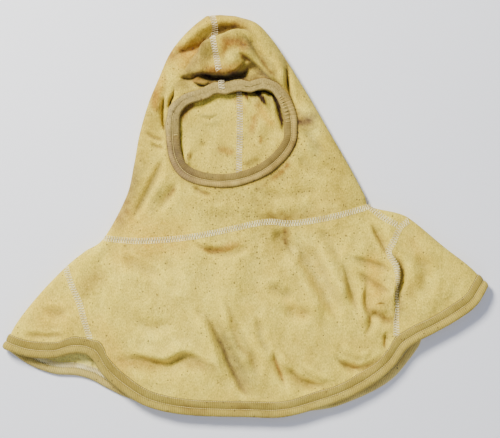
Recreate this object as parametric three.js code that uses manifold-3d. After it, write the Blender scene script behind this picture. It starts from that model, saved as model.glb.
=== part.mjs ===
// A firefighter's knit hood, lying on its back on a flat surface with the face opening up.
// Millimetres. +Z is up, +Y runs from the hem to the crown, and +X is to the viewer's right.
// The origin is the middle of the footprint, on the surface.
//
// The hood is a flattened tube of two-ply knit, closed at the crown and open at the hem.
// It is described by its outline seen from above and by the heights of its front and back cloth.
// The panels are cut out of that one shape along the seams, so neighbours always line up.
import * as THREE from "three";
import { mergeVertices } from "three/addons/utils/BufferGeometryUtils.js";
import Module from "manifold-3d";

const wasm = await Module();
wasm.setup();

// Cloth
const CLOTH = 2; // wall of two-ply knit
const HALF_CLOTH = CLOTH / 2;
const SEAM_GAP = 0.5; // between the raw edges of two panels joined by a flat seam
const HALF_GAP = SEAM_GAP / 2;

// Bindings: a strip of knit folded over a raw edge and stitched down in two rows
const STRIP = 1.3; // thickness of the strip
const STRIP_GAP = 0.3; // between the strip and the cloth that it holds
const STRIP_INSIDE = HALF_CLOTH + STRIP_GAP; // the strip's inner face, from the cloth's centre
const STRIP_OUTSIDE = STRIP_INSIDE + STRIP;
const STRIP_SWELL = 0.35; // how far the row along the edge swells out
const STRIP_BEND = 0.75; // how far from the edge the strip starts to bend round it
const STITCH_DENT = 0.5; // how deep a line of stitches sinks in
const RAW_EDGE = 2.2; // from the binding's edge to the cloth's raw edge inside it

// Widths on the outside, of the row along the edge, and turned to the inside
const HEM = { band: 19.5, row: 9.5, turn: 10.5, ridge: 0 };
const CHIN = { band: 15.6, row: 8.2, turn: 8, ridge: 0.2 };
const BROW = { band: 11, row: 5.8 }; // otherwise as at the chin
const BROW_FROM_Y = 110; // the face binding narrows from here
const BROW_TO_Y = 142; // to here

// Heights
const ROLL = 9; // how far inside the outline a folded edge rounds over
const PUFF_REACH = 45; // how far inside the outline the front cloth reaches its full height
const FOLD_REACH = 14; // how far inside the outline a fold reaches its full depth
const BACK_HEM_HEIGHT = STRIP_OUTSIDE + STRIP_SWELL; // the back's binding lies on the surface
const BACK_LIES_FROM = 48; // and its cloth this far above the hem
const BETWEEN = 6.6; // a level between the front and the back cloth

// Grids
const HEAD_COLUMNS = { front: 27, back: 8 };
const BIB_COLUMNS = { front: 44, back: 24 };
const CROWN_PITCH = 7.5; // between the head's rows above the face opening
const NECK_PITCH = 22; // and below it
const PITCH_CHANGE_Y = 130;
const PITCH_CHANGE_OVER = 30;
const CROWN_END_SECTIONS = [0.12, 0.35, 0.65]; // extra rows that round the crown off
const BIB_ROWS = 6;
const LAST_FREE_SECTION = 13.15; // the bib's last row above those of the hem
const FACE_STATIONS = 40;
const LINE_SAMPLES = 14; // points on a fold's line
const SECTION_SAMPLES = 8; // points on the outline for each of its sections
const HEM_SAMPLES = 60;
const SEAM_SAMPLES = 28;

// A table of rows with named columns.
function table(columns, rows) {
  return rows.map((row) => Object.fromEntries(columns.map((name, i) => [name, row[i]])));
}

// The outline seen from above, a row for each section from the crown to the tips of the hem.
const SECTIONS = table(
  ["name", "leftX", "leftY", "rightX", "rightY"],
  [
    ["crown_top", -47, 240, -12, 240],
    ["crown", -61, 229, 12, 232],
    ["crown_side", -77, 213, 29, 215],
    ["brow", -91, 194, 44, 194],
    ["temple", -103, 167, 61, 167],
    ["cheek", -116, 136, 80, 136],
    ["ear", -127, 98, 102, 98],
    ["jaw", -134, 60, 124, 60],
    ["collar", -143, 23, 142, 26],
    ["neck_seam", -170, -27, 149, 11],
    ["shoulder", -194, -44, 185, 2],
    ["shoulder_point", -216, -62, 203, -8],
    ["cap", -247, -94, 239, -38],
    ["cap_low", -274, -128, 271, -63],
    ["hem_tip", -291.3, -160, 291.6, -86],
  ],
);
const CROWN = { x: -31, y: 241.5 };
const NECK = SECTIONS.findIndex((section) => section.name === "neck_seam");
const TIPS = SECTIONS.length - 1;
const BOW_FROM = 5.5; // sections below this one bow towards the neck seam's line

// The neck seam on the front; on the back it runs straight.
const NECK_SEAM = table(
  ["x", "y"],
  [
    [-170, -27],
    [-130, -30],
    [-88, -28],
    [-42, -21],
    [8, -10],
    [31, -7],
    [54, -9],
    [100, -2],
    [149, 11],
  ],
);

// The hem: the front bib dips below the shoulder caps, and the back one a little lower.
const HEM_EDGE = table(
  ["x", "frontY", "backY"],
  [
    [-291.3, -160, -160],
    [-262, -169, -180],
    [-232, -171, -191],
    [-205, -165, -193],
    [-187, -169, -198],
    [-172, -190, -206],
    [-150, -210, -217],
    [-118, -229, -229],
    [-70, -239, -237],
    [0, -241.5, -239],
    [46, -241.5, -238],
    [100, -227, -233],
    [130, -215, -223],
    [160, -197, -209],
    [180, -179, -195],
    [194, -160, -179],
    [210, -149, -157],
    [216, -146, -143],
    [228, -140, -137],
    [256, -124, -122],
    [278, -107, -104],
    [291.6, -86, -86],
  ],
);

// Height of the front cloth's centre at the folded edge, and how much it puffs up inside it.
const LIFT = table(
  ["y", "height", "puff"],
  [
    [-245, 17.5, 0],
    [-150, 17, 1],
    [-60, 15.5, 2],
    [20, 14.5, 2.5],
    [60, 14.5, 2.5],
    [110, 15, 3],
    [150, 17, 4],
    [185, 20, 6],
    [225, 21, 7],
    [242, 18, 5],
  ],
);

// Main folds of the front cloth, each along a curve through three points.
// Rise is the height of a ridge, or of a valley where it is negative; reach is from its line to its foot.
const FOLDS = table(
  ["name", "x0", "y0", "x1", "y1", "x2", "y2", "rise", "reach"],
  [
    ["crown_valley", -84, 196, -41, 216, 12, 224, -16, 12],
    ["pouch_left_valley", -60, 182, -54, 198, -44, 214, -6, 9],
    ["brow_valley", -48, 169, -20, 166, 8, 186, -12, 9],
    ["left_brow_valley", -84, 164, -62, 166, -38, 172, -8, 8],
    ["arm_ridge", -8, 196, 16, 187, 34, 162, 7, 9],
    ["pouch_crease", -4, 222, 14, 197, 38, 164, -4, 7],
    ["right_tuck", 39, 200, 51, 166, 61, 106, -9, 8],
    ["left_tuck", -90, 156, -98, 130, -97, 98, -7, 8],
    ["bib_main_valley", -50, -112, -26, -166, 8, -216, -6, 13],
    ["bib_main_ridge", -26, -96, -4, -160, 24, -216, 4, 12],
    ["bib_long_valley", 54, -20, 88, -76, 118, -134, -5, 14],
    ["bib_long_ridge", 76, -22, 106, -72, 134, -118, 4, 13],
    ["bib_hook_valley", 140, -84, 150, -116, 144, -144, -5, 11],
    ["hem_valley_right", 108, -172, 130, -184, 156, -166, -6, 11],
    ["hem_valley_middle", 52, -186, 78, -200, 102, -206, -4, 11],
    ["hem_valley_left", -158, -176, -120, -176, -84, -184, -5, 12],
    ["hem_ridge_left", -150, -160, -112, -160, -70, -166, 3, 12],
    ["neck_valley", -58, -42, -32, -48, 10, -32, -4, 12],
    ["armhole_valley", 152, -14, 166, -42, 180, -70, -6, 11],
  ],
);
const FOLD_END = 0.25; // share of its line over which a fold fades out at each end

// Soft mounds of the front cloth.
const MOUNDS = table(
  ["name", "x", "y", "radiusX", "radiusY", "rise"],
  [
    ["forehead_pouch", -18, 197, 38, 31, 13],
    ["left_temple", -84, 172, 20, 28, 3],
    ["right_temple", 40, 168, 18, 40, 3],
    ["bib_centre", -40, -80, 90, 60, 3],
    ["left_cap", -214, -120, 42, 36, 3],
    ["right_cap", 214, -88, 48, 40, 3],
  ],
);

// The bindings hold the cloth smooth: not a fold at the face, and only a little of one at the hem.
const FACE_FREE_OVER = 8; // folds grow from the edge of the face's binding over this distance
const HEM_FOLD_SHARE = 0.35;
const HEM_FREE_FROM = HEM.band + 28;
const FACE_MIDDLE = { x: -20, y: 98, radiusX: 58, radiusY: 46 };

// The inner edge of the face binding.
const FACE_OPENING = table(
  ["x", "y"],
  [
    [46, 106],
    [41, 130],
    [36, 143],
    [25, 150],
    [-8, 149],
    [-36, 146],
    [-48, 140],
    [-67, 136],
    [-78, 126],
    [-82, 101],
    [-79, 73],
    [-67, 60],
    [-25, 49],
    [14, 61],
    [37, 79],
  ],
);
const FACE_RAW_EDGE = 3; // the head's cloth ends this far outside that edge

// The armhole seams, from the shoulder's fold to past the hem.
const LEFT_ARMHOLE = table(
  ["x", "y"],
  [
    [-226, -46],
    [-216, -62],
    [-208, -84],
    [-199, -106],
    [-193, -127],
    [-188, -144],
    [-180, -215],
  ],
);
const RIGHT_ARMHOLE = table(
  ["x", "y"],
  [
    [206, 6],
    [196, -6],
    [186, -14],
    [176, -34],
    [172, -46],
    [180, -68],
    [181, -114],
    [181, -142],
    [190, -215],
  ],
);

// The right shoulder seam: the back bib wraps over the fold and shows beyond it.
const RIGHT_SHOULDER = table(
  ["x", "y"],
  [
    [140, 24],
    [147, 12],
    [164, -1],
    [184, -12],
    [200, -22],
  ],
);
const FAR = 330; // well past the outline
const TALL = 80; // well above the cloth

const clamp = (t) => Math.min(1, Math.max(0, t));
const smooth = (t) => clamp(t) ** 2 * (3 - 2 * clamp(t));
const between = (t, from, to) => smooth((t - from) / (to - from));
const mix = (a, b, t) => a + (b - a) * t;
const steps = (count, make) => Array.from({ length: count + 1 }, (_, i) => make(i / count));

// A table's column read at x, along a smooth line through its rows.
function read(rows, across, down, x) {
  const last = rows.length - 1;
  if (x <= rows[0][across]) return rows[0][down];
  if (x >= rows[last][across]) return rows[last][down];
  const k = rows.findIndex((row) => row[across] > x) - 1;
  const slope = (i) => {
    const a = rows[Math.max(i - 1, 0)];
    const b = rows[Math.min(i + 1, last)];
    return (b[down] - a[down]) / (b[across] - a[across]);
  };
  const span = rows[k + 1][across] - rows[k][across];
  const rise = rows[k + 1][down] - rows[k][down];
  const t = (x - rows[k][across]) / span;
  const startBend = (slope(k) * span - rise) * t * (1 - t) ** 2;
  const endBend = (rise - slope(k + 1) * span) * t ** 2 * (1 - t);
  return rows[k][down] + rise * t + startBend + endBend;
}

// How far a point is from a line of points, and the share of the line's length at which it is nearest.
function nearest(line, x, y) {
  let found = { distance: Infinity, share: 0 };
  for (let i = 0; i + 1 < line.length; i++) {
    const [ax, ay] = line[i];
    const dx = line[i + 1][0] - ax;
    const dy = line[i + 1][1] - ay;
    const t = clamp(((x - ax) * dx + (y - ay) * dy) / (dx * dx + dy * dy));
    const distance = Math.hypot(x - ax - t * dx, y - ay - t * dy);
    if (distance < found.distance) found = { distance, share: (i + t) / (line.length - 1) };
  }
  return found;
}

// The outline's two ends at a section number, which may lie between two sections.
const numbered = SECTIONS.map((section, number) => ({ ...section, number }));
function outlineAt(section) {
  const at = (column) => read(numbered, "number", column, section);
  return { leftX: at("leftX"), leftY: at("leftY"), rightX: at("rightX"), rightY: at("rightY") };
}

const sides = steps(TIPS * SECTION_SAMPLES, (t) => outlineAt(t * TIPS));
const outlineLine = [
  ...sides.map((o) => [o.leftX, o.leftY]).reverse(),
  [CROWN.x, CROWN.y],
  ...sides.map((o) => [o.rightX, o.rightY]),
];

function hemLine(column) {
  const [first, last] = [HEM_EDGE[0].x, HEM_EDGE.at(-1).x];
  return steps(HEM_SAMPLES, (t) => {
    const x = mix(first, last, t);
    return [x, read(HEM_EDGE, "x", column, x)];
  });
}
const frontHemLine = hemLine("frontY");
const backHemLine = hemLine("backY");

// A fold's line is a parabola through its three points.
function foldLine(fold) {
  const bendX = 2 * fold.x1 - (fold.x0 + fold.x2) / 2;
  const bendY = 2 * fold.y1 - (fold.y0 + fold.y2) / 2;
  return steps(LINE_SAMPLES, (t) => {
    const [a, b, c] = [(1 - t) ** 2, 2 * t * (1 - t), t * t];
    return [a * fold.x0 + b * bendX + c * fold.x2, a * fold.y0 + b * bendY + c * fold.y2];
  });
}
const foldLines = FOLDS.map(foldLine);

const openingCurve = new THREE.CatmullRomCurve3(
  FACE_OPENING.map((p) => new THREE.Vector3(p.x, p.y, 0)),
  true,
  "centripetal",
);
const openingPoints = openingCurve.getSpacedPoints(FACE_STATIONS).slice(0, -1);
const openingLine = [...openingPoints, openingPoints[0]].map((p) => [p.x, p.y]);

// How far along the way from a round foot, at 1, to the top of a bump, at 0.
const bump = (q) => (q < 1 ? (1 - q * q) ** 2 : 0);

// How much of a fold the bindings let the front cloth keep.
function freedom(x, y) {
  const { x: middleX, y: middleY, radiusX, radiusY } = FACE_MIDDLE;
  if (Math.hypot((x - middleX) / radiusX, (y - middleY) / radiusY) < 1) return 0;
  const fromFace = nearest(openingLine, x, y).distance;
  const fromHem = nearest(frontHemLine, x, y).distance;
  const atHem = mix(HEM_FOLD_SHARE, 1, between(fromHem, HEM.band, HEM_FREE_FROM));
  const smoothTo = mix(CHIN.band, BROW.band, between(y, BROW_FROM_Y, BROW_TO_Y));
  return atHem * between(fromFace, smoothTo, smoothTo + FACE_FREE_OVER);
}

// Height of the front cloth's centre, if the folded edge were not there.
function frontHeight(x, y, fromEdge) {
  const puff = read(LIFT, "y", "puff", y) * smooth(fromEdge / PUFF_REACH);
  const folds = FOLDS.map((fold, i) => {
    const { distance, share } = nearest(foldLines[i], x, y);
    const ends = smooth(share / FOLD_END) * smooth((1 - share) / FOLD_END);
    return fold.rise * bump(distance / fold.reach) * ends;
  });
  const mounds = MOUNDS.map(
    (m) => m.rise * bump(Math.hypot((x - m.x) / m.radiusX, (y - m.y) / m.radiusY)),
  );
  const rises = [...folds, ...mounds].reduce((a, b) => a + b);
  return read(LIFT, "y", "height", y) + puff + rises * smooth(fromEdge / FOLD_REACH) * freedom(x, y);
}

// Height of the back cloth's centre: it lies on the surface, but for its binding near the hem.
function backHeight(x, y) {
  const fromHem = nearest(backHemLine, x, y).distance;
  return mix(BACK_HEM_HEIGHT, HALF_CLOTH, between(fromHem, HEM.band + 2, BACK_LIES_FROM));
}

// The point of a layer's centre at (x, y): both layers meet halfway up at the folded edge.
function clothPoint(layer, x, y) {
  const fromEdge = nearest(outlineLine, x, y).distance;
  const front = frontHeight(x, y, fromEdge);
  const back = backHeight(x, y);
  const inward = clamp(fromEdge / ROLL);
  const parted = Math.sqrt(1 - (1 - inward) ** 2);
  return new THREE.Vector3(x, y, mix((front + back) / 2, layer === "front" ? front : back, parted));
}

// The place, seen from above, at a share of a section's width.
function planPoint(layer, section, share) {
  const chord = (o, side) => mix(o["left" + side], o["right" + side], share);
  const [here, neck, tips] = [outlineAt(section), SECTIONS[NECK], SECTIONS[TIPS]];
  const neckBow = read(NECK_SEAM, "x", "y", chord(neck, "X")) - chord(neck, "Y");
  const hemBow = read(HEM_EDGE, "x", layer + "Y", chord(tips, "X")) - chord(tips, "Y");
  const headBow = layer === "front" ? neckBow * between(section, BOW_FROM, NECK) : 0;
  const toHem = clamp((section - NECK) / (TIPS - NECK));
  return { x: chord(here, "X"), y: chord(here, "Y") + mix(headBow, hemBow, toHem) };
}

// Shares of the width for a layer's columns, closer together where its edges round over.
function columnShares(count, width) {
  const roll = Math.min(ROLL / width, 0.3);
  const edge = [0, 0.134 * roll, 0.5 * roll];
  const middle = steps(count - 2 * edge.length - 1, (t) => mix(roll, 1 - roll, t));
  return [...edge, ...middle, ...edge.map((share) => 1 - share).reverse()];
}

// A ring round the tube: the front from left to right, then the back from right to left.
function ring(section, columns, nudge = 0) {
  const { leftX, rightX } = outlineAt(section);
  const place = (layer) => (share) => {
    const { x, y } = planPoint(layer, section, share);
    return clothPoint(layer, x, y + nudge);
  };
  const front = columnShares(columns.front, rightX - leftX).map(place("front"));
  const back = columnShares(columns.back, rightX - leftX).map(place("back"));
  return [...front, ...back.reverse().slice(1, -1)];
}

// Directions out of the tube at each point of a grid of rings, from the faces that meet there.
function outward(rings) {
  const count = rings[0].length;
  const normals = rings.map((points) => points.map(() => new THREE.Vector3()));
  for (let j = 0; j + 1 < rings.length; j++) {
    for (let i = 0; i < count; i++) {
      const k = (i + 1) % count;
      const across = rings[j + 1][k].clone().sub(rings[j][i]);
      const along = rings[j][k].clone().sub(rings[j + 1][i]);
      const square = across.clone().cross(along);
      [normals[j][i], normals[j][k], normals[j + 1][i], normals[j + 1][k]].forEach((n) => n.add(square));
    }
  }
  normals.flat().forEach((n) => n.normalize());
  return normals;
}

const shifted = (points, normals, by) => points.map((p, i) => p.clone().addScaledVector(normals[i], by));

// A surface made of rings of points, each joined to the next.
class Skin {
  points = [];
  faces = [];

  add(points) {
    const first = this.points.length;
    this.points.push(...points);
    return points.map((_, i) => first + i);
  }

  // Each square is split from its upper left to its lower right corner, whichever ring comes first,
  // so that the two sides of a wall, and the binding over it, bend alike.
  join(a, b) {
    const down = this.points[b[0]].y < this.points[a[0]].y;
    a.forEach((_, i) => {
      const k = (i + 1) % a.length;
      if (down) this.faces.push([a[i], b[i], b[k]], [a[i], b[k], a[k]]);
      else this.faces.push([a[i], b[i], a[k]], [b[i], b[k], a[k]]);
    });
  }

  close(point, ids) {
    const [pole] = this.add([point]);
    ids.forEach((id, i) => this.faces.push([pole, id, ids[(i + 1) % ids.length]]));
  }

  geometry() {
    const g = new THREE.BufferGeometry();
    g.setFromPoints(this.points);
    g.setIndex(this.faces.flat());
    return g;
  }
}

// A wall of cloth round a tube's centre, closed by a pole above its first ring if it has one.
function wall(rings, normals, pole) {
  const skin = new Skin();
  const outer = rings.map((points, j) => skin.add(shifted(points, normals[j], HALF_CLOTH)));
  const inner = rings.map((points, j) => skin.add(shifted(points, normals[j], -HALF_CLOTH)));
  for (let j = 0; j + 1 < rings.length; j++) {
    skin.join(outer[j], outer[j + 1]);
    skin.join(inner[j + 1], inner[j]);
  }
  skin.join(outer.at(-1), inner.at(-1));
  if (pole) {
    const lift = new THREE.Vector3(0, HALF_CLOTH, 0);
    skin.close(pole.clone().add(lift), outer[0]);
    skin.close(pole.clone().sub(lift), inner[0].toReversed());
  } else {
    skin.join(inner[0], outer[0]);
  }
  return skin.geometry();
}

// A strip's section over an edge, from its outer side round the edge to its inner side and back.
// Reach is measured from the finished edge into the cloth, and rise from the cloth's centre.
function stripSection({ band, row, turn, ridge }, grow = 0) {
  const inside = STRIP_INSIDE - grow;
  const outside = STRIP_OUTSIDE + grow;
  return table(
    ["reach", "rise"],
    [
      [band + grow, inside],
      [band + grow, outside - STITCH_DENT],
      [(band + row) / 2, outside + ridge],
      [row, outside - STITCH_DENT],
      [row / 2, outside + STRIP_SWELL],
      [STRIP_BEND - grow, STRIP_INSIDE],
      [-grow, 0],
      [STRIP_BEND - grow, -STRIP_INSIDE],
      [row / 2, -outside - STRIP_SWELL],
      [turn + grow, -outside],
      [turn + grow, -inside],
      [RAW_EDGE - STRIP_GAP + grow, -inside],
      [RAW_EDGE - STRIP_GAP + grow, inside],
      [turn + grow, inside],
    ],
  );
}

// A ring of strip from the loops that its section's points make, in the section's order.
function strip(loops) {
  const skin = new Skin();
  const ids = loops.map((loop) => skin.add(loop));
  ids.forEach((loop, k) => skin.join(loop, ids[(k + 1) % ids.length]));
  return skin.geometry();
}

// Geometry as a solid, and a solid as geometry.
function solid(geometry) {
  const bare = geometry.clone();
  bare.deleteAttribute("normal");
  bare.deleteAttribute("uv");
  const merged = mergeVertices(bare, 1e-4);
  const vertProperties = new Float32Array(merged.attributes.position.array);
  const triVerts = new Uint32Array(merged.index.array);
  return new wasm.Manifold(new wasm.Mesh({ numProp: 3, vertProperties, triVerts }));
}
function geometryOf(manifold) {
  const { vertProperties, triVerts } = manifold.getMesh();
  const g = new THREE.BufferGeometry();
  g.setAttribute("position", new THREE.BufferAttribute(vertProperties, 3));
  g.setIndex(new THREE.BufferAttribute(triVerts, 1));
  return g;
}

// The largest body of a solid, without the crumbs that a cut can leave.
function largest(manifold) {
  return manifold.decompose().reduce((a, b) => (b.volume() > a.volume() ? b : a));
}

// An upright prism over a closed line, between two heights.
function prism(line, low, high) {
  const points = line.map(([x, y]) => new THREE.Vector2(x, y));
  const ordered = THREE.ShapeUtils.area(points) < 0 ? points.reverse() : points;
  const options = { depth: high - low, bevelEnabled: false };
  return solid(new THREE.ExtrudeGeometry(new THREE.Shape(ordered), options).translate(0, 0, low));
}

// A smooth line through a table's rows.
function seamLine(rows) {
  const curve = new THREE.SplineCurve(rows.map((row) => new THREE.Vector2(row.x, row.y)));
  return curve.getPoints(SEAM_SAMPLES).map((p) => [p.x, p.y]);
}

// Head: rows from the crown to the neck seam, closer together above the face.
function headSections() {
  const sections = [...CROWN_END_SECTIONS];
  const look = 0.1;
  for (let section = 1; section < NECK - look; ) {
    sections.push(section);
    const { leftY } = outlineAt(section);
    const drop = leftY - outlineAt(section + look).leftY;
    const toCrown = between(leftY, PITCH_CHANGE_Y, PITCH_CHANGE_Y + PITCH_CHANGE_OVER);
    section += (mix(NECK_PITCH, CROWN_PITCH, toCrown) * look) / Math.max(drop, 1);
  }
  return sections;
}

// Both panels take their lean at the neck seam from the head's cloth just above it.
function seamNormals(columns, seam) {
  return outward([ring(NECK - 0.3, columns), seam])[1];
}

function headWall() {
  const seam = ring(NECK, HEAD_COLUMNS, HALF_GAP);
  const rings = [...headSections().map((section) => ring(section, HEAD_COLUMNS)), seam];
  const normals = [...outward(rings).slice(0, -1), seamNormals(HEAD_COLUMNS, seam)];
  const pole = clothPoint("front", CROWN.x, CROWN.y);
  return solid(wall(rings, normals, pole));
}

// Bib: rows from the neck seam to the hem, and there one wherever the binding or the cloth ends.
const HEM_ROWS = [HEM.band, HEM.turn, RAW_EDGE, 0];

// The row that lies a reach in from the hem's edge, measured square to it.
function hemRing(reach) {
  const look = 0.2;
  const edge = ring(TIPS, BIB_COLUMNS);
  const above = ring(TIPS - look, BIB_COLUMNS);
  return edge.map((p, i) => {
    const along = edge.at((i + 1) % edge.length).clone().sub(edge.at(i - 1)).normalize();
    const up = above[i].clone().sub(p);
    const square = up.clone().addScaledVector(along, -up.dot(along)).length();
    return ring(TIPS - (look * reach) / Math.max(square, 1), BIB_COLUMNS)[i];
  });
}

const neckRing = ring(NECK, BIB_COLUMNS, -HALF_GAP);
const freeRings = steps(BIB_ROWS, (t) => ring(mix(NECK, LAST_FREE_SECTION, t), BIB_COLUMNS)).slice(1);
const bibRings = [neckRing, ...freeRings, ...HEM_ROWS.map(hemRing)];
const bibNormals = outward(bibRings);
bibNormals[0] = seamNormals(BIB_COLUMNS, neckRing);
const firstHemRing = bibRings.length - HEM_ROWS.length;
const bibWall = solid(wall(bibRings.slice(0, -1), bibNormals.slice(0, -1)));

// A loop of the hem's binding, at a reach from its edge and a rise from the cloth's centre.
function hemLoop({ reach, rise }) {
  const below = Math.max(HEM_ROWS.findIndex((row) => row < reach), 1);
  const k = reach < RAW_EDGE ? HEM_ROWS.length - 1 : below;
  const t = (HEM_ROWS[k - 1] - reach) / (HEM_ROWS[k - 1] - HEM_ROWS[k]);
  const [upper, lower] = [firstHemRing + k - 1, firstHemRing + k];
  return bibRings[upper].map((p, i) => {
    const normal = bibNormals[upper][i].clone().lerp(bibNormals[lower][i], t).normalize();
    return p.clone().lerp(bibRings[lower][i], t).addScaledVector(normal, rise);
  });
}

// The direction out of the front cloth at (x, y).
function frontNormal(x, y) {
  const look = 1.5;
  const height = (dx, dy) => clothPoint("front", x + dx, y + dy).z;
  const slopeX = (height(look, 0) - height(-look, 0)) / (2 * look);
  const slopeY = (height(0, look) - height(0, -look)) / (2 * look);
  return new THREE.Vector3(-slopeX, -slopeY, 1).normalize();
}

// The direction away from the face opening at one of its points, seen from above.
function awayFromFace(i) {
  const next = openingPoints[(i + 1) % FACE_STATIONS];
  const along = next.clone().sub(openingPoints.at(i - 1)).normalize();
  return new THREE.Vector3(along.y, -along.x, 0);
}

// The face binding, and with a growth the room that the head's cloth leaves for it.
function faceStrip(grow) {
  const stations = openingPoints.map((p, i) => {
    const away = awayFromFace(i);
    const toBrow = between(p.y, BROW_FROM_Y, BROW_TO_Y);
    const band = mix(CHIN.band, BROW.band, toBrow);
    const row = mix(CHIN.row, BROW.row, toBrow);
    return stripSection({ ...CHIN, band, row }, grow).map(({ reach, rise }) => {
      const { x, y } = p.clone().addScaledVector(away, reach);
      return clothPoint("front", x, y).addScaledVector(frontNormal(x, y), rise);
    });
  });
  const loops = stations[0].map((_, k) => stations.map((points) => points[k]));
  return strip(loops.toReversed());
}

function headPanel() {
  const rim = openingPoints.map((p, i) => {
    const { x, y } = p.clone().addScaledVector(awayFromFace(i), FACE_RAW_EDGE);
    return [x, y];
  });
  const opened = headWall().subtract(prism(rim, BETWEEN, TALL));
  return largest(opened.subtract(solid(faceStrip(STRIP_GAP))));
}

// Everything beyond an armhole seam, on the side where side is 1 or -1.
function beyondArmhole(rows, side, gap) {
  const line = seamLine(rows).map(([x, y]) => [x + side * gap, y]);
  const corners = [
    [side * FAR, line.at(-1)[1]],
    [side * FAR, line[0][1]],
  ];
  return prism([...line, ...corners], -TALL, TALL);
}
const bibs = bibWall
  .subtract(beyondArmhole(LEFT_ARMHOLE, -1, -HALF_GAP))
  .subtract(beyondArmhole(RIGHT_ARMHOLE, 1, -HALF_GAP));

// Everything above the level between the layers, on the front bib's side of the shoulder seam.
function frontSide(gap) {
  const seam = seamLine(RIGHT_SHOULDER).map(([x, y]) => [x - gap, y - gap]);
  const corners = [
    [FAR, -FAR],
    [-FAR, -FAR],
    [-FAR, FAR],
    [seam[0][0], FAR],
  ];
  return prism([...seam, ...corners], BETWEEN + gap, TALL);
}

const KNIT = new THREE.Color(0.74, 0.62, 0.36);
const HEM_KNIT = new THREE.Color(0.64, 0.53, 0.3);
const FACE_KNIT = new THREE.Color(0.5, 0.41, 0.25);

function piece(name, geometry, color) {
  const material = new THREE.MeshStandardMaterial({ color, roughness: 0.95, metalness: 0 });
  const mesh = new THREE.Mesh(geometry, material);
  mesh.name = name;
  return mesh;
}
const panel = (name, shape) => piece(name, geometryOf(largest(shape)), KNIT);

const hood = new THREE.Group();
hood.add(
  panel("head_panel", headPanel()),
  panel("front_bib", bibs.intersect(frontSide(HALF_GAP))),
  panel("back_bib", bibs.subtract(frontSide(-HALF_GAP))),
  panel("left_shoulder_cap", bibWall.intersect(beyondArmhole(LEFT_ARMHOLE, -1, HALF_GAP))),
  panel("right_shoulder_cap", bibWall.intersect(beyondArmhole(RIGHT_ARMHOLE, 1, HALF_GAP))),
  piece("hem_binding", strip(stripSection(HEM).map(hemLoop)), HEM_KNIT),
  piece("face_binding", faceStrip(0), FACE_KNIT),
);

export default hood;
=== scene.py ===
"""A firefighter's knit hood, lying on its back on a pale floor and seen from straight above.

Lengths are in millimetres until a mesh is made. +Z is up, +Y runs from the hem to the crown,
and +X is to the viewer's right. The hood is a flattened tube of two-ply knit with a front and
a back layer. Every panel, seam and binding is placed on that one shape.
"""

import math
from collections import namedtuple

import bpy
import numpy as np
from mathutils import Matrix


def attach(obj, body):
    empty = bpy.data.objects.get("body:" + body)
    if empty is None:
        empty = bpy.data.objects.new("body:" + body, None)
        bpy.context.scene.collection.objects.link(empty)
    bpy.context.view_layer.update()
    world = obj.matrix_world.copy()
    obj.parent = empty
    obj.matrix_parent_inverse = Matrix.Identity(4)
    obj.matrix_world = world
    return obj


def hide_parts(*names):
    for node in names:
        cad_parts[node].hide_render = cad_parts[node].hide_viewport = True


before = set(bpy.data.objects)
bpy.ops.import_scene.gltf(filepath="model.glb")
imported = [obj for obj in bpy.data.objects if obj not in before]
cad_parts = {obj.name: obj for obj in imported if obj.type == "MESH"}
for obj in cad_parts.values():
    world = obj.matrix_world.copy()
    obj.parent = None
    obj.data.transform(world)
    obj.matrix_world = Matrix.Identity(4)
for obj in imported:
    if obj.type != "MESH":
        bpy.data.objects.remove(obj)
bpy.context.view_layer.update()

MM = 0.001
CLOTH = 2.0
HALF_CLOTH = CLOTH / 2
SEAM_GAP = 0.5
SEAM_RISE = 1.6  # what the flat seams below hold the back cloth off the floor

# Camera
PHOTO_WIDTH = 600.0  # what the picture spans
PHOTO_CENTRE = (5.4, -3.6)
CAMERA_HEIGHT = 1600.0
SENSOR = 36.0
CLOTH_TOP = 18.0

# Bindings
STRIP_OUTSIDE = 2.6
STRIP_INSIDE = 1.3
HEM_BAND = 19.5
HEM_ROW = 9.5
HEM_TURN = 10.5
FACE_BAND = 16.6
FACE_ROW = 8.8
FACE_TURN = 8.0
BROW_BAND = 13.0
BROW_FROM_Y = 110.0
BROW_TO_Y = 142.0
BROW_STARTS_LEFT = 96.0  # where the plain brow strip is joined to the ribbed one
BROW_STARTS_RIGHT = 142.0
RAW_EDGE = 2.2
FACE_RAW_EDGE = 3.0
STITCH_DENT = 1.3  # how far a line of stitches draws a binding in
EDGE_ROUNDNESS = 2.6
HEM_SWELLS = (0.9, 0.4)  # how much further the outer and the inner row of a binding stand out
FACE_SWELLS = (0.1, 2.0)
# how dark a binding's stitched grooves are painted, as painted shade
PAINTED_GROOVE_SHADE = 0.42
BINDING_SPECKS = 0.12

# Heights and reaches of the cloth
ROLL = 9.0  # how far in from the outline the cloth is still turning over
WIDEST_ROLL = 0.3  # the same as a share of the width, near the crown
PUFF_REACH = 45.0
FOLD_REACH = 14.0
FACE_HOLD = (-1, 5)  # how far beyond a binding's edge folds start, and where they are whole
HEM_HOLD = (-2, 9)
HEM_KEEPS = 0.3  # the share of a fold that is left under the hem's binding
BACK_HEM_HEIGHT = 3.55
BACK_LIES_FROM = 48.0
BACK_RISE = 9.5  # how far the slack back cloth rises inside the face opening
BACK_RISE_OVER = 48.0
FRONT_WAVES = [(1.4, 52, 3), (0.35, 17, 4), (0.1, 7, 5)]  # height, length and seed of each
BACK_WAVES = [(0.09, 30, 8)]
RIPPLE_WAVES = 9  # how many sine waves add up to one

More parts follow.
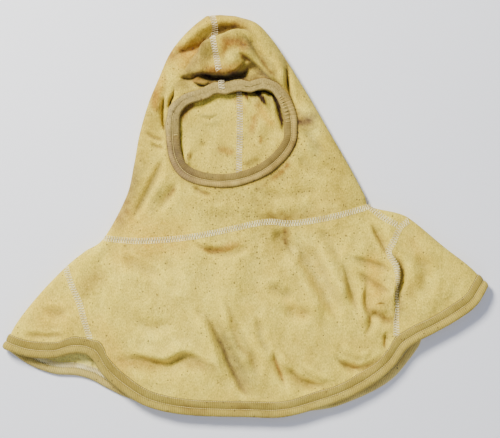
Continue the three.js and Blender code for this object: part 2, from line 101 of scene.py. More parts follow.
# Grids
CURVE_STEPS = 8
ROLL_STEPS = 6
HEAD_COLUMNS = (124, 108)
BIB_COLUMNS = (250, 120)
HEAD_PITCH_ABOVE = 1.25
HEAD_PITCH_BELOW = 2.2
BIB_ROWS = 112
FINE_FROM_TO = (70, 110)  # between these heights on the head its rows grow closer
CROWN_SHARES = (0.02, 0.2, 0.4, 0.6, 0.8)  # rings between the crown's point and the first section
BOUND_REACHES = (22, 18, 14, 10, 6, RAW_EDGE)  # rings of the bib under its binding
HEM_REACHES = np.array([0, 0.8, 1.9, 4, 6, 8, 10, 12, 14, 16, 18, 20, 24])
HEM_COLUMNS = (420, 400)
NECK_COLUMNS = (300, 280)
FACE_PITCH = 0.9
SEAM_PITCH = 0.8

# Threads
THREAD_SIDES = 5
FLATLOCK_WIDTH = 7.0
FLATLOCK_PITCH = 3.1
INNER_PITCH = 2.0
RUNG = (0.0, 0.5, 0.46, 0.52)  # start and slant in pitches, then height and radius
RETURN = (1.0, -0.5, 0.2, 0.3)
EDGE_STITCH = (0.6, 0.2, 0.3)  # share of its pitch, then height and radius
HEM_STITCH = (2.6, 0.66, 0.1, 0.36)  # pitch, then as above
FACE_STITCH = (2.4, 0.7, 0.1, 0.28)
GATHER_FROM = 0.15  # how high a pucker stands before a stitch holds it
GATHER_STITCH = (0.15, 0.42)  # where such a stitch runs, as shares of the binding's width
GATHER_RADIUS = 0.3

# Lights
LIGHT_COLOUR = (1.0, 0.985, 0.95)
LIGHTS = [  # name, place, size and power
    ("key", (-0.85, 1.05, 1.5), 0.6, 88.0),
    ("overhead", (0.3, -0.1, 2.4), 2.2, 7.0),
    ("fill", (0.2, -1.5, 0.9), 1.4, 9.0),
]
WORLD_COLOUR = (0.72, 0.9, 1.5, 1)
WORLD_STRENGTH = 0.26
FLOOR_HALF = 3000.0


def numbers(text):
    """An array from rows of numbers that are parted by commas."""
    return np.array([row.split() for row in text.split(",")], float)


def table(columns, text):
    """A short table as an array for each named column."""
    return dict(zip(columns.split(), numbers(text).T))


def labelled(text):
    """The values and points of each line of a text, which begins with what the line is."""
    for line in text.strip().splitlines():
        _, values, points = line.split("|")
        yield values.split(), numbers(points)


# The outline seen from above, a row for each section from the crown to the tips of the hem.
SECTIONS = table("left_x left_y right_x right_y", """
-47 240 -12 240, -61 229 12 232, -77 213 29 215, -91 194 44 194, -103 167 61 167, -116 136 80 136,
-127 98 102 98, -134 60 124 60, -143 23 142 26, -170 -27 149 11, -194 -44 185 2, -216 -62 203 -8,
-247 -94 239 -38, -274 -128 271 -63, -291.3 -160 291.6 -86
""")
CROWN = np.array([-31, 241.5])
NECK = 9
TIPS = 14
BOW_FROM = 5.5

NECK_SEAM = table("x y", """
-170 -27, -130 -30, -88 -28, -42 -21, 8 -10, 31 -7, 54 -9, 100 -2, 149 11
""")
HEM_EDGE = table("x front back", """
-291.3 -160 -160, -262 -169 -180, -232 -171 -191, -205 -165 -193, -187 -169 -198, -172 -190 -206,
-150 -210 -217, -118 -229 -229, -70 -239 -237, 0 -241.5 -239, 46 -241.5 -238, 100 -227 -233,
130 -215 -223, 160 -197 -209, 180 -179 -195, 194 -160 -179, 210 -149 -157, 216 -146 -143,
228 -140 -137, 256 -124 -122, 278 -107 -104, 291.6 -86 -86
""")
LIFT = table("y height puff", """
-245 17.5 0, -150 17 1, -60 15.5 2, 20 14.5 2.5, 60 14.5 2.5, 110 15 3, 150 17 4, 185 20 6,
225 21 7, 242 18 5
""")

# The inner edge of the face binding, anticlockwise.
FACE_OPENING = numbers("""
46 106, 45 120, 41 134, 36 143, 31 149, 22 151.5, 15 150.5, 7 148, 0 148.5, -8 149.5, -18 147,
-24 145.5, -36 146, -44 141.5, -54 138, -66 134.5, -73 129.5, -78 121, -79 106, -78.5 91, -76 74,
-68 60.5, -51 53, -28 50.5, -4 54, 18 63.5, 35 77.5, 45 92
""")
FACE_MIDDLE = np.array([-20.0, 98.0])

# Folds of the cloth, each as a name, then rise, left, right, lean and sharp, then its points. A fold
# follows a smooth line through them. Rise is the height of a ridge, or of a valley where it is
# negative. Left and right are the reach from the line to the foot on either side, as one travels
# along it. Lean pushes the ridge over to the left, or to the right where it is negative, so that it
# hangs over what lies beside it. Sharp is 1 where the line is a crease, and 0 where it is round.
Fold = namedtuple("Fold", "points rise left right lean sharp", defaults=(0, 0.2))


def folds(text):
    return [Fold(points, *map(float, values)) for values, points in labelled(text)]


HEAD_FOLDS = folds("""
crown_valley | -16 20 5 | -98 184, -80 195, -66 199, -55 203, -46 209, -36 214, -25 218, \
-12 224, 2 223, 16 214
crown_roll | 3 6 12 | -86 210, -62 226, -38 235, -10 237, 14 231, 28 216
pouch_edge | 7 4 18 3 | -56 180, -54 188, -52 195, -49 202, -43 206, -34 210, -26 213, \
-17 217, -8 220, 2 219, 10 214
pouch_left_slope | 7 18 4 0 0.4 | -38 223, -49 206, -56 193, -65 179, -76 167
pouch_lip | 9 18 5 -3 | -82 168, -64 172, -56 174, -50 175, -35 174, -22 174, -12 178, -5 183, 1 190
brow_hollow | -15 8 11 | -60 170, -50 169, -37 166, -24 165, -10 168, 0 173, 8 186
brow_hollow_left | -8 4 5 | -80 166, -72 165, -64 165, -56 169
tucked_lump | 6 4 3.5 -2 | -68 164, -56 162, -48 161, -38 165
under_lump | -5 3 5 | -62 160, -54 157, -47 155, -40 158
curl | 9 8 8 -3 | -12 192, -6 197, 3 196, 13 189, 22 182, 28 175, 34 166, 37 157
curl_hollow | -6 7 11 | 4 184, 12 179, 21 172, 28 163
pouch_crease | -6 10 6 0 0.5 | -6 220, 2 211, 8 204, 13 196, 20 187, 28 177, 35 167, 39 157
right_tuck | -14 7 6 0 0.9 | 38 206, 48 183, 50 174, 51 159, 53 148, 54 142, 59 125, 62 106
right_tuck_lip | 3.5 9 3 -1 | 43 200, 53 182, 55 165, 57 148, 62 128
right_band | 4 5 8 | 30 208, 42 182, 45 162, 46 150
left_tuck | -12 4.5 4.5 0 0.7 | -85 156, -87 144, -90 137, -92 121, -92 110
left_tuck_outer | -14 5 4.5 0 0.7 | -97 146, -99 134, -99.5 120, -98 108, -96 98
left_tuck_lip | 3 4 4 | -92 152, -94.5 138, -95.5 122, -95 108
left_band | 3.5 6 9 | -98 172, -104 152, -107 132, -106 112
left_wrinkle | -3 5 5 | -126 106, -110 94, -96 91
left_wrinkle_ridge | 2.5 4 5 | -120 94, -110 88, -100 86
left_wrinkle_low | -2.5 4 5 | -116 90, -105 83, -96 81
chin_crease | -4 4 8 | -66 38, -52 29, -38 25
chin_fan_left | -6 8 8 | -95 74, -108 50, -124 18, -140 -10
chin_fan_low | -6 9 9 | -80 44, -94 24, -106 2
chin_fan_ridge | 3 8 8 | -90 56, -104 36, -116 16
cheek_right | -4 9 9 | 62 106, 82 92, 100 72
cheek_right_low | -4 11 11 | 58 76, 78 58, 104 46
cheek_right_ridge | 2 10 10 | 62 92, 84 74, 106 60
throat_wave | 2 12 12 | -70 6, -20 12, 30 6, 80 16
throat_crease | -3 10 10 | 10 30, 50 24, 96 34
""")
BIB_FOLDS = folds("""
main_ridge_left | 6 6 24 | -68 -108, -52 -130, -41 -154, -33 -178, -22 -200
main_valley | -13 26 7 0 0.5 | -56 -108, -42 -130, -34 -146, -26 -162, -21 -176, -13 -192, -3 -210, 14 -222
main_ridge | 6 9 14 | -32 -98, -20 -124, -8 -150, 3 -172, 9 -192
second_valley | -7 14 9 | -24 -98, -16 -131, -7 -155, 5 -170, 11 -185, 12 -202
third_valley | -5 10 9 | 12 -118, 16 -134, 20 -152, 32 -168
hem_crease | -8 6 9 0 0.8 | 32 -158, 36 -174, 41 -188, 50 -211
hem_ridge | 3.5 9 6 | 40 -160, 50 -184, 60 -206
hem_valley | -9 9 20 | 44 -174, 54 -188, 66 -198, 80 -203, 108 -207
hem_valley_ridge | 3.5 9 7 | 66 -174, 86 -190, 108 -196
long_valley | -10 20 12 | 58 -26, 66 -42, 80 -62, 92 -86, 104 -113, 112 -132
long_ridge | 6.5 10 18 | 46 -34, 56 -56, 72 -82, 84 -108, 92 -130
long_ridge_right | 7.5 14 12 | 86 -30, 100 -56, 112 -84, 122 -112
thin_crease | -6 14 5 0 0.4 | 114 -52, 121 -70, 124 -84, 130 -101, 138 -124
thin_ridge | 2.5 4 8 | 112 -66, 116 -84, 122 -102, 128 -118
hook_crease | -8 14 5 0 0.5 | 146 -70, 144 -90, 144 -106, 149 -120, 149 -132, 140 -146
hook_ridge | 3.5 6 8 | 137 -84, 137 -104, 141 -122, 141 -134
bowl | -10 11 6 0 0.3 | 104 -164, 114 -176, 124 -183, 136 -187, 148 -184, 160 -175, 172 -156
bowl_ridge | 3 9 8 | 112 -148, 124 -160, 140 -166, 154 -158
left_hem_valley | -8 11 20 0 0 | -176 -176, -146 -173, -128 -174, -108 -179, -94 -180, -84 -175, \
-74 -171, -60 -174, -44 -180, -18 -184
left_hem_ridge | 4 16 8 | -152 -162, -128 -163, -108 -168, -92 -169, -76 -160, -60 -163, -44 -170
neck_hollow | -4 11 7 0 0 | -64 -32, -44 -41, -26 -46, -6 -42, 8 -33
neck_hollow_ridge | 2.5 7 7 | -60 -28, -44 -35, -26 -35
neck_hollow_right | -7 12 14 | 32 -14, 42 -26, 52 -36, 58 -56
neck_gather_left | -4 12 12 | -150 -44, -128 -62, -96 -70
neck_gather_middle | -3.5 14 14 | -100 -44, -86 -70, -84 -100
neck_gather_right | -4 12 12 | 84 -14, 104 -32, 112 -54
shoulder_crease | -8 14 4 0 0.4 | 149 -6, 157 -22, 163 -32, 172 -52
armhole_fold | 6 3 14 3 | 166 -40, 175 -50, 180 -62, 180 -76, 175 -92, 177 -112, 178 -132
armhole_shadow | -7 10 4 | 174 -40, 185 -58, 188 -72, 183 -90, 184 -120
armhole_wave | -6 7 12 | 118 -46, 146 -55, 162 -60, 178 -68
armhole_wave_mid | -6 6 12 | 130 -64, 148 -76, 160 -84, 176 -94
armhole_wave_low | -9 5 10 | 150 -112, 158 -118, 168 -124, 178 -130
armhole_ridge_low | 3.5 6 5 | 150 -104, 160 -110, 172 -116
low_crease | -8 9 5 0 0.6 | 167 -138, 168 -150, 167 -166
left_slope | 3 24 24 | -150 -60, -130 -90, -122 -130
middle_wave | -6 13 13 | 26 -78, 42 -92, 62 -94
middle_wave_low | -5 13 13 | 48 -106, 60 -118, 84 -114
low_wave | -4 14 14 | -140 -128, -110 -134, -84 -126
cap_left_wave | -6 10 14 | -266 -140, -240 -148, -212 -142
cap_left_top | -4 12 12 | -244 -110, -226 -118, -212 -112
cap_right_wave | -6 16 16 | 204 -44, 216 -72, 212 -104
""")
BACK_FOLDS = folds("""
under_rim | -8 5 7 | -34 147, -10 150, 10 150, 28 148, 39 134, 43 112, 44 92
inner_fold | 6 7 5 | 14 158, 22 143, 31 122
inner_fold_mid | 4 5 4 | -6 158, 0 146, 5 130
inner_fold_far | 4 4 5 | 28 150, 33 138, 36 118
inner_wrinkle | 1.8 5 4 | -66 128, -48 121, -32 124
inner_wrinkle_low | 1.2 5 4 | -60 116, -44 112, -30 115
inner_wave | 1.5 8 6 | 8 112, 16 96, 20 76
inner_corner | 4 5 5 | -64 90, -71 68, -72 52
""")
FOLD_END = 0.32  # the share of a line over which each end fades out
END_WIDTH = 0.45  # how wide it still is at its very end

# Round swellings and dips, each as a name, then rise and radii, then its middle.
Mound = namedtuple("Mound", "x y rise radius_x radius_y")


def mounds(text):
    return [Mound(*points[0], *map(float, values)) for values, points in labelled(text)]


MOUNDS = mounds("""
forehead_pouch | 12 38 31 | -20 196
pouch_pit | -3 7 5 | 0 187
pouch_spot | 2.5 11 9 | -15 190
pouch_patch | -3 14 7 | -14 209
left_temple | 3 20 28 | -84 172
right_temple | 3 18 40 | 40 168
bib_centre | 3 90 60 | -40 -80
left_cap | 3 42 36 | -214 -120
right_cap | 3 48 40 | 214 -88
neck_dip | 1.5 60 50 | -100 -90
""")

# Seams seen from above. The cloth is cut a little beyond the ends of the stitches.
LEFT_ARMHOLE = numbers("-226 -46, -216 -62, -208 -84, -199 -106, -193 -127, -188 -144, -180 -215")
RIGHT_ARMHOLE = numbers("206 6, 196 -6, 186 -14, 176 -34, 172 -46, 180 -68, 181 -114, 181 -142, 190 -215")
RIGHT_SHOULDER = numbers("140 24, 147 12, 164 -1, 184 -12, 200 -22")
SHOULDER_FROM_X = 130
LEFT_SEAM = np.vstack([LEFT_ARMHOLE[1:-1], (-187, -149)])
RIGHT_SEAM = np.vstack([RIGHT_ARMHOLE[1:-1], (181, -145)])
FOREHEAD_SEAM = numbers("-40 240, -37 228, -38 214, -36 199, -33 184, -31 175")
BROW_SEAM = numbers("-29 160, -28 149")
BACK_SEAM = numbers("-7 236, -8 190, -7 120, -8 52, -10 -24")


def smooth(t):
    """An even step from 0 to 1."""
    t = np.clip(t, 0, 1)
    return t * t * (3 - 2 * t)


def between(t, start, end):
    return smooth((t - start) / (end - start))


def mix(a, b, t):
    return a + (b - a) * t


def unit(vectors):
    return vectors / np.maximum(np.linalg.norm(vectors, axis=-1, keepdims=True), 1e-9)


def bump(q):
    """1 at the top of a round bump, and 0 at its foot and beyond."""
    return np.where(q < 1, (1 - np.minimum(q, 1) ** 2) ** 2, 0)


def swelling(mounds_there, x, y):
    """How high several mounds are together."""
    total = 0
    for m in mounds_there:
        total += m.rise * bump(np.hypot((x - m.x) / m.radius_x, (y - m.y) / m.radius_y))
    return total


def crease(q):
    """1 in the line of a sharp crease, and 0 at its foot and beyond."""
    return (1 - np.minimum(q, 1)) ** 2


def ripple(x, y, length, seed):
    """Gentle unevenness between about -1 and 1, with waves of about that length."""
    random = np.random.default_rng(seed)
    total = np.zeros(np.broadcast(x, y).shape)
    for turn, phase, stretch in random.random((RIPPLE_WAVES, 3)):
        angle = turn * 2 * math.pi
        pitch = length * (0.7 + 0.6 * stretch)
        along = x * math.cos(angle) + y * math.sin(angle)
        total += np.sin(along * 2 * math.pi / pitch + phase * 2 * math.pi)
    return total / math.sqrt(RIPPLE_WAVES)


def waves(x, y, rows):
    """Several ripples together, with a row of height, length and seed for each."""
    return sum(height * ripple(x, y, length, seed) for height, length, seed in rows)


def read(xs, ys, x):
    """The column ys of a table read at x, along a smooth line through its rows."""
    x = np.clip(x, xs[0], xs[-1])
    k = np.clip(np.searchsorted(xs, x, side="right") - 1, 0, len(xs) - 2)
    ahead = np.minimum(np.arange(len(xs)) + 1, len(xs) - 1)
    behind = np.maximum(np.arange(len(xs)) - 1, 0)
    slope = (ys[ahead] - ys[behind]) / (xs[ahead] - xs[behind])
    span = xs[k + 1] - xs[k]
    rise = ys[k + 1] - ys[k]
    t = (x - xs[k]) / span
    start_bend = (slope[k] * span - rise) * t * (1 - t) ** 2
    end_bend = (rise - slope[k + 1] * span) * t**2 * (1 - t)
    return ys[k] + rise * t + start_bend + end_bend


def curve(points, closed=False):
    """A smooth line through points."""
    if len(points) < 3:
        return points
    if closed:
        padded = np.vstack([points[-1:], points, points[:2]])
    else:
        padded = np.vstack([2 * points[0] - points[1], points, 2 * points[-1] - points[-2]])
    line = []
    for a, b, c, d in zip(padded[:-3], padded[1:-2], padded[2:-1], padded[3:]):
        for t in np.arange(CURVE_STEPS) / CURVE_STEPS:
            square, cube = 2 * a - 5 * b + 4 * c - d, 3 * b - a - 3 * c + d
            line.append(0.5 * (2 * b + (c - a) * t + square * t**2 + cube * t**3))
    if not closed:
        line.append(points[-1])
    return np.array(line)


def even(line, pitch):
    """A line's points again, evenly spaced."""
    length = lengths_along(line)
    at = np.linspace(0, length[-1], max(int(round(length[-1] / pitch)), 1) + 1)
    return np.stack([np.interp(at, length, line[:, i]) for i in range(line.shape[1])], axis=1)


def lengths_along(line):
    """Length of a line up to each of its points."""
    return np.concatenate([[0], np.cumsum(np.linalg.norm(np.diff(line, axis=0), axis=1))])


def left_of(along):
    """Directions to the left of others, seen from above."""
    return np.stack([-along[:, 1], along[:, 0]], axis=1)


def closed(rows):
    """Rows of points round a ring, with the first of each again at its end."""
    return np.concatenate([rows, rows[:, :1]], axis=1)


def nearest(line, x, y):
    """Distance to a line, share of its length at the nearest point, and 1 or -1 for its left or right."""
    a, b = line[:-1], line[1:]
    d = b - a
    best = np.full(len(x), np.inf)
    share = np.zeros(len(x))
    side = np.ones(len(x))
    for i in range(len(a)):
        px, py = x - a[i, 0], y - a[i, 1]
        t = np.clip((px * d[i, 0] + py * d[i, 1]) / (d[i] @ d[i]), 0, 1)
        distance = np.hypot(px - t * d[i, 0], py - t * d[i, 1])
        closer = distance < best
        best = np.where(closer, distance, best)
        share = np.where(closer, (i + t) / len(a), share)
        side = np.where(closer, np.sign(d[i, 0] * py - d[i, 1] * px), side)
    return best, share, side


def strength_near(line, left, right, x, y, sharp=0.0, tapered=True):
    """Numbers of the points near a line, how strong it is at each, and each one's share of its length."""
    low, high = line.min(axis=0) - max(left, right), line.max(axis=0) + max(left, right)
    near = np.flatnonzero((x > low[0]) & (x < high[0]) & (y > low[1]) & (y < high[1]))
    distance, share, side = nearest(line, x[near], y[near])
    ends = smooth(share / FOLD_END) * smooth((1 - share) / FOLD_END) if tapered else np.ones(len(near))
    q = distance / (np.where(side > 0, left, right) * mix(END_WIDTH, 1, ends))
    return near, mix(bump(q), crease(q), sharp) * ends, share


def outline_at(section):
    """Left x, left y, right x and right y of the outline at a section number."""
    rows = np.arange(TIPS + 1.0)
    return [read(rows, column, section) for column in SECTIONS.values()]


def outline_line():
    left_x, left_y, right_x, right_y = outline_at(np.linspace(0, TIPS, TIPS * 8 + 1))
    left = np.stack([left_x, left_y], axis=1)[::-1]
    right = np.stack([right_x, right_y], axis=1)
    return np.vstack([left, CROWN, right])


def hem_line(column):
    x = np.linspace(HEM_EDGE["x"][0], HEM_EDGE["x"][-1], 61)
    return np.stack([x, read(HEM_EDGE["x"], HEM_EDGE[column], x)], axis=1)


OUTLINE = outline_line()
FRONT_HEM = hem_line("front")
BACK_HEM = hem_line("back")
OPENING = curve(FACE_OPENING, closed=True)
OPENING_LOOP = np.vstack([OPENING, OPENING[:1]])


def face_reach(x, y):
    """How far outside the face opening a point is, and negative inside it."""
    distance, _, side = nearest(OPENING_LOOP, x, y)
    return -distance * side


def brow_share(y):
    return between(y, BROW_FROM_Y, BROW_TO_Y)


def face_band(y):
    """Width of the face binding, which is narrower over the brow."""
    return mix(FACE_BAND, BROW_BAND, brow_share(y))


def freedom(x, y):
    """How much of a fold the bindings let the front cloth keep."""
    from_face = face_reach(x, y) - face_band(y)
    from_hem = nearest(FRONT_HEM, x, y)[0] - HEM_BAND
    return between(from_face, *FACE_HOLD) * mix(HEM_KEEPS, 1, between(from_hem, *HEM_HOLD))


def front_shape(x, y, from_edge):
    """Height of the front cloth's centre, and how far its folds lean over in x and y."""
    height = np.zeros(len(x))
    lean = np.zeros((len(x), 2))
    for fold in HEAD_FOLDS + BIB_FOLDS:
        line = curve(fold.points)
        near, amount, share = strength_near(line, fold.left, fold.right, x, y, fold.sharp)
        height[near] += fold.rise * amount
        along = unit(np.gradient(line, axis=0))[np.round(share * (len(line) - 1)).astype(int)]
        lean[near] += fold.lean * amount[:, None] * left_of(along)
    height += swelling(MOUNDS, x, y) + waves(x, y, FRONT_WAVES)
    free = freedom(x, y) * smooth(from_edge / FOLD_REACH)
    puff = read(LIFT["y"], LIFT["puff"], y) * smooth(from_edge / PUFF_REACH)
    return read(LIFT["y"], LIFT["height"], y) + puff + height * free, lean * free[:, None]


def cloth_height(x, y):
    """Height of the front cloth's centre alone."""
    return front_shape(x, y, nearest(OUTLINE, x, y)[0])[0]


def back_height(x, y):
    """Height of the back cloth's centre."""
    from_hem = nearest(BACK_HEM, x, y)[0]
    flat = HALF_CLOTH + SEAM_RISE
    return mix(BACK_HEM_HEIGHT, flat, between(from_hem, HEM_BAND + 2, BACK_LIES_FROM)) + back_bulge(x, y)


def back_bulge(x, y):
    """The back cloth is slack inside the face opening, and rises a little there."""
    height = BACK_RISE * (1 - between(face_reach(x, y), -4, BACK_RISE_OVER))
    for fold in BACK_FOLDS:
        near, amount, _ = strength_near(curve(fold.points), fold.left, fold.right, x, y)
        height[near] += fold.rise * amount
    return height * (1 + waves(x, y, BACK_WAVES))


def cloth_point(front, x, y):
    """The point of a layer's centre over (x, y). Both layers meet halfway up at the folded edge."""
    shape = np.broadcast(front, x, y).shape
    front, x, y = (np.broadcast_to(a, shape).ravel() for a in (front, x, y))
    from_edge = nearest(OUTLINE, x, y)[0]
    top, lean = front_shape(x, y, from_edge)
    bottom = back_height(x, y)
    parted = np.sqrt(1 - (1 - np.clip(from_edge / ROLL, 0, 1)) ** 2)
    z = mix((top + bottom) / 2, np.where(front, top, bottom), parted)
    lean = lean * (front * parted)[:, None]
    return np.stack([x + lean[:, 0], y + lean[:, 1], z], axis=1).reshape(shape + (3,))


def cloth_normal(front, x, y):
    """The direction out of the hood at a layer over (x, y)."""
    step = 0.6
    along_x = cloth_point(front, x + step, y) - cloth_point(front, x - step, y)
    along_y = cloth_point(front, x, y + step) - cloth_point(front, x, y - step)
    return unit(np.cross(along_x, along_y)) * np.where(front, 1, -1)[..., None]


class Columns:
    """Where the columns of a ring stand: the front from left to right, then the back again."""

    def __init__(self, front_count, back_count):
        turn = 1 - np.cos(np.linspace(0, math.pi / 2, ROLL_STEPS + 1))[:-1]
        front = self.layer(turn, front_count)
        back = self.layer(turn, back_count)
        self.base = np.concatenate([front[0], back[0][::-1][1:-1]])
        self.gain = np.concatenate([front[1], back[1][::-1][1:-1]])
        self.front = np.arange(len(self.base)) < len(front[0])

    @staticmethod
    def layer(turn, count):
        middle = np.linspace(0, 1, count - 2 * len(turn))
        base = np.concatenate([0 * turn, middle, 0 * turn + 1])
        gain = np.concatenate([turn, 1 - 2 * middle, -turn[::-1]])
        return base, gain

    def plan(self, section, nudge=0.0):
        """x and y of each column at a section number, or at one section number for each column."""
        left_x, left_y, right_x, right_y = outline_at(np.asarray(section, float))
        share = self.base + np.minimum(ROLL / (right_x - left_x), WIDEST_ROLL) * self.gain
        neck, tips = ([column[k] for column in SECTIONS.values()] for k in (NECK, TIPS))
        neck_x = mix(neck[0], neck[2], share)
        tips_x = mix(tips[0], tips[2], share)
        neck_bow = read(NECK_SEAM["x"], NECK_SEAM["y"], neck_x) - mix(neck[1], neck[3], share)
        hems = [read(HEM_EDGE["x"], HEM_EDGE[column], tips_x) for column in ("front", "back")]
        hem_bow = np.where(self.front, *hems) - mix(tips[1], tips[3], share)
        head_bow = np.where(self.front, neck_bow * between(section, BOW_FROM, NECK), 0)
        to_hem = np.clip((section - NECK) / (TIPS - NECK), 0, 1)
        bow = mix(head_bow, hem_bow, to_hem)
        return mix(left_x, right_x, share), mix(left_y, right_y, share) + bow + nudge

    def hem_section(self, reach):
        """Section number of each column at a reach in from the hem's edge."""
        look = 0.2
        edge = np.stack(self.plan(TIPS), axis=1)
        above = np.stack(self.plan(TIPS - look), axis=1)
        edge = cloth_point(self.front, edge[:, 0], edge[:, 1])
        above = cloth_point(self.front, above[:, 0], above[:, 1])
        along = unit(np.roll(edge, -1, axis=0) - np.roll(edge, 1, axis=0))
        up = above - edge
        square = np.linalg.norm(up - along * np.sum(up * along, axis=1, keepdims=True), axis=1)
        return TIPS - look * reach / np.maximum(square, 1)


def placed(name, data):
    """A new object in the scene."""
    made = bpy.data.objects.new(name, data)
    bpy.context.collection.objects.link(made)
    return made


def object_of(name, points, faces, material, uv=None, colours=None, specks=None):
    """A smooth mesh object from points in millimetres. Cloth has uv for each corner of its faces too."""
    mesh = bpy.data.meshes.new(name)
    mesh.from_pydata(points * MM, [], faces)
    mesh.polygons.foreach_set("use_smooth", np.ones(len(mesh.polygons), bool))
    if uv is not None:
        mesh.uv_layers.new(name="cloth").data.foreach_set("uv", uv.ravel())
        tint = np.column_stack([colours, np.ones(len(colours))])
        mesh.attributes.new("tint", "FLOAT_COLOR", "POINT").data.foreach_set("color", tint.ravel())
        mesh.attributes.new("specks", "FLOAT", "POINT").data.foreach_set("value", specks)
    mesh.materials.append(material)
    return placed(name, mesh)


def tied(piece, replaced=None):
    """Ties a piece to the hood's one body, and hides the solid that it stands for."""
    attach(piece, "root")
    if replaced:
        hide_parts(replaced)
    return piece


def grid_faces(rows, columns, wrap_rows=False):
    """Faces over a grid whose rows are rings, and the same corners counted without wrapping."""
    j, i = np.indices((rows if wrap_rows else rows - 1, columns)).reshape(2, -1)
    corners = [(j, i), (j + 1, i), (j + 1, i + 1), (j, i + 1)]
    faces = np.stack([(a % rows) * columns + b % columns for a, b in corners], axis=1)
    return faces, corners


# Colours

# What the cloth's red, green and blue are multiplied by where a mark is strongest. rust and gold are
# dirt and tone of the cloth, and dimmed darkens it. brown, soot
# and olive are dirt in some places and painted shade in creases, hollows and under
# edges in others. shade darkens towards grey, as painted shade where the lists below say so.
# gap is painted shadow in deep gaps. pale makes the cloth paler, as painted light
# where the lists below say so. inside_out is painted light in a shadowed gap,
# together with the paler inside of the cloth.
TINTS = {
    "rust": (0.52, 0.34, 0.34),
    "brown": (0.37, 0.26, 0.40),
    "soot": (0.14, 0.07, 0.20),
    "gap": (0.045, 0.022, 0.045),
    "olive": (0.58, 0.60, 0.92),
    "pale": (1.20, 1.28, 1.7),
    "inside_out": (1.25, 1.45, 3.2),
    "gold": (0.92, 0.76, 0.55),
    "shade": (0.53, 0.50, 0.90),
    "handled": (0.72, 0.69, 0.66),
}
MARK_FOOT = 1.25  # where a stain ends, as a multiple of its width
RAGGED = [(0.16, 11, 11), (0.08, 4, 12)]  # how stains vary: height, length and seed of each wave
Stain = namedtuple("Stain", "points left right tint strength")


def stains_and_painted_light(text):
    """Stains, painted shade and painted light, each as a name, then width, tint and strength, and the
    width to the right if it differs.
    """
    made = []
    for (left, tint, strength, *right), points in labelled(text):
        right = right[0] if right else left
        made.append(Stain(points, float(left), float(right), TINTS[tint], float(strength)))
    return made
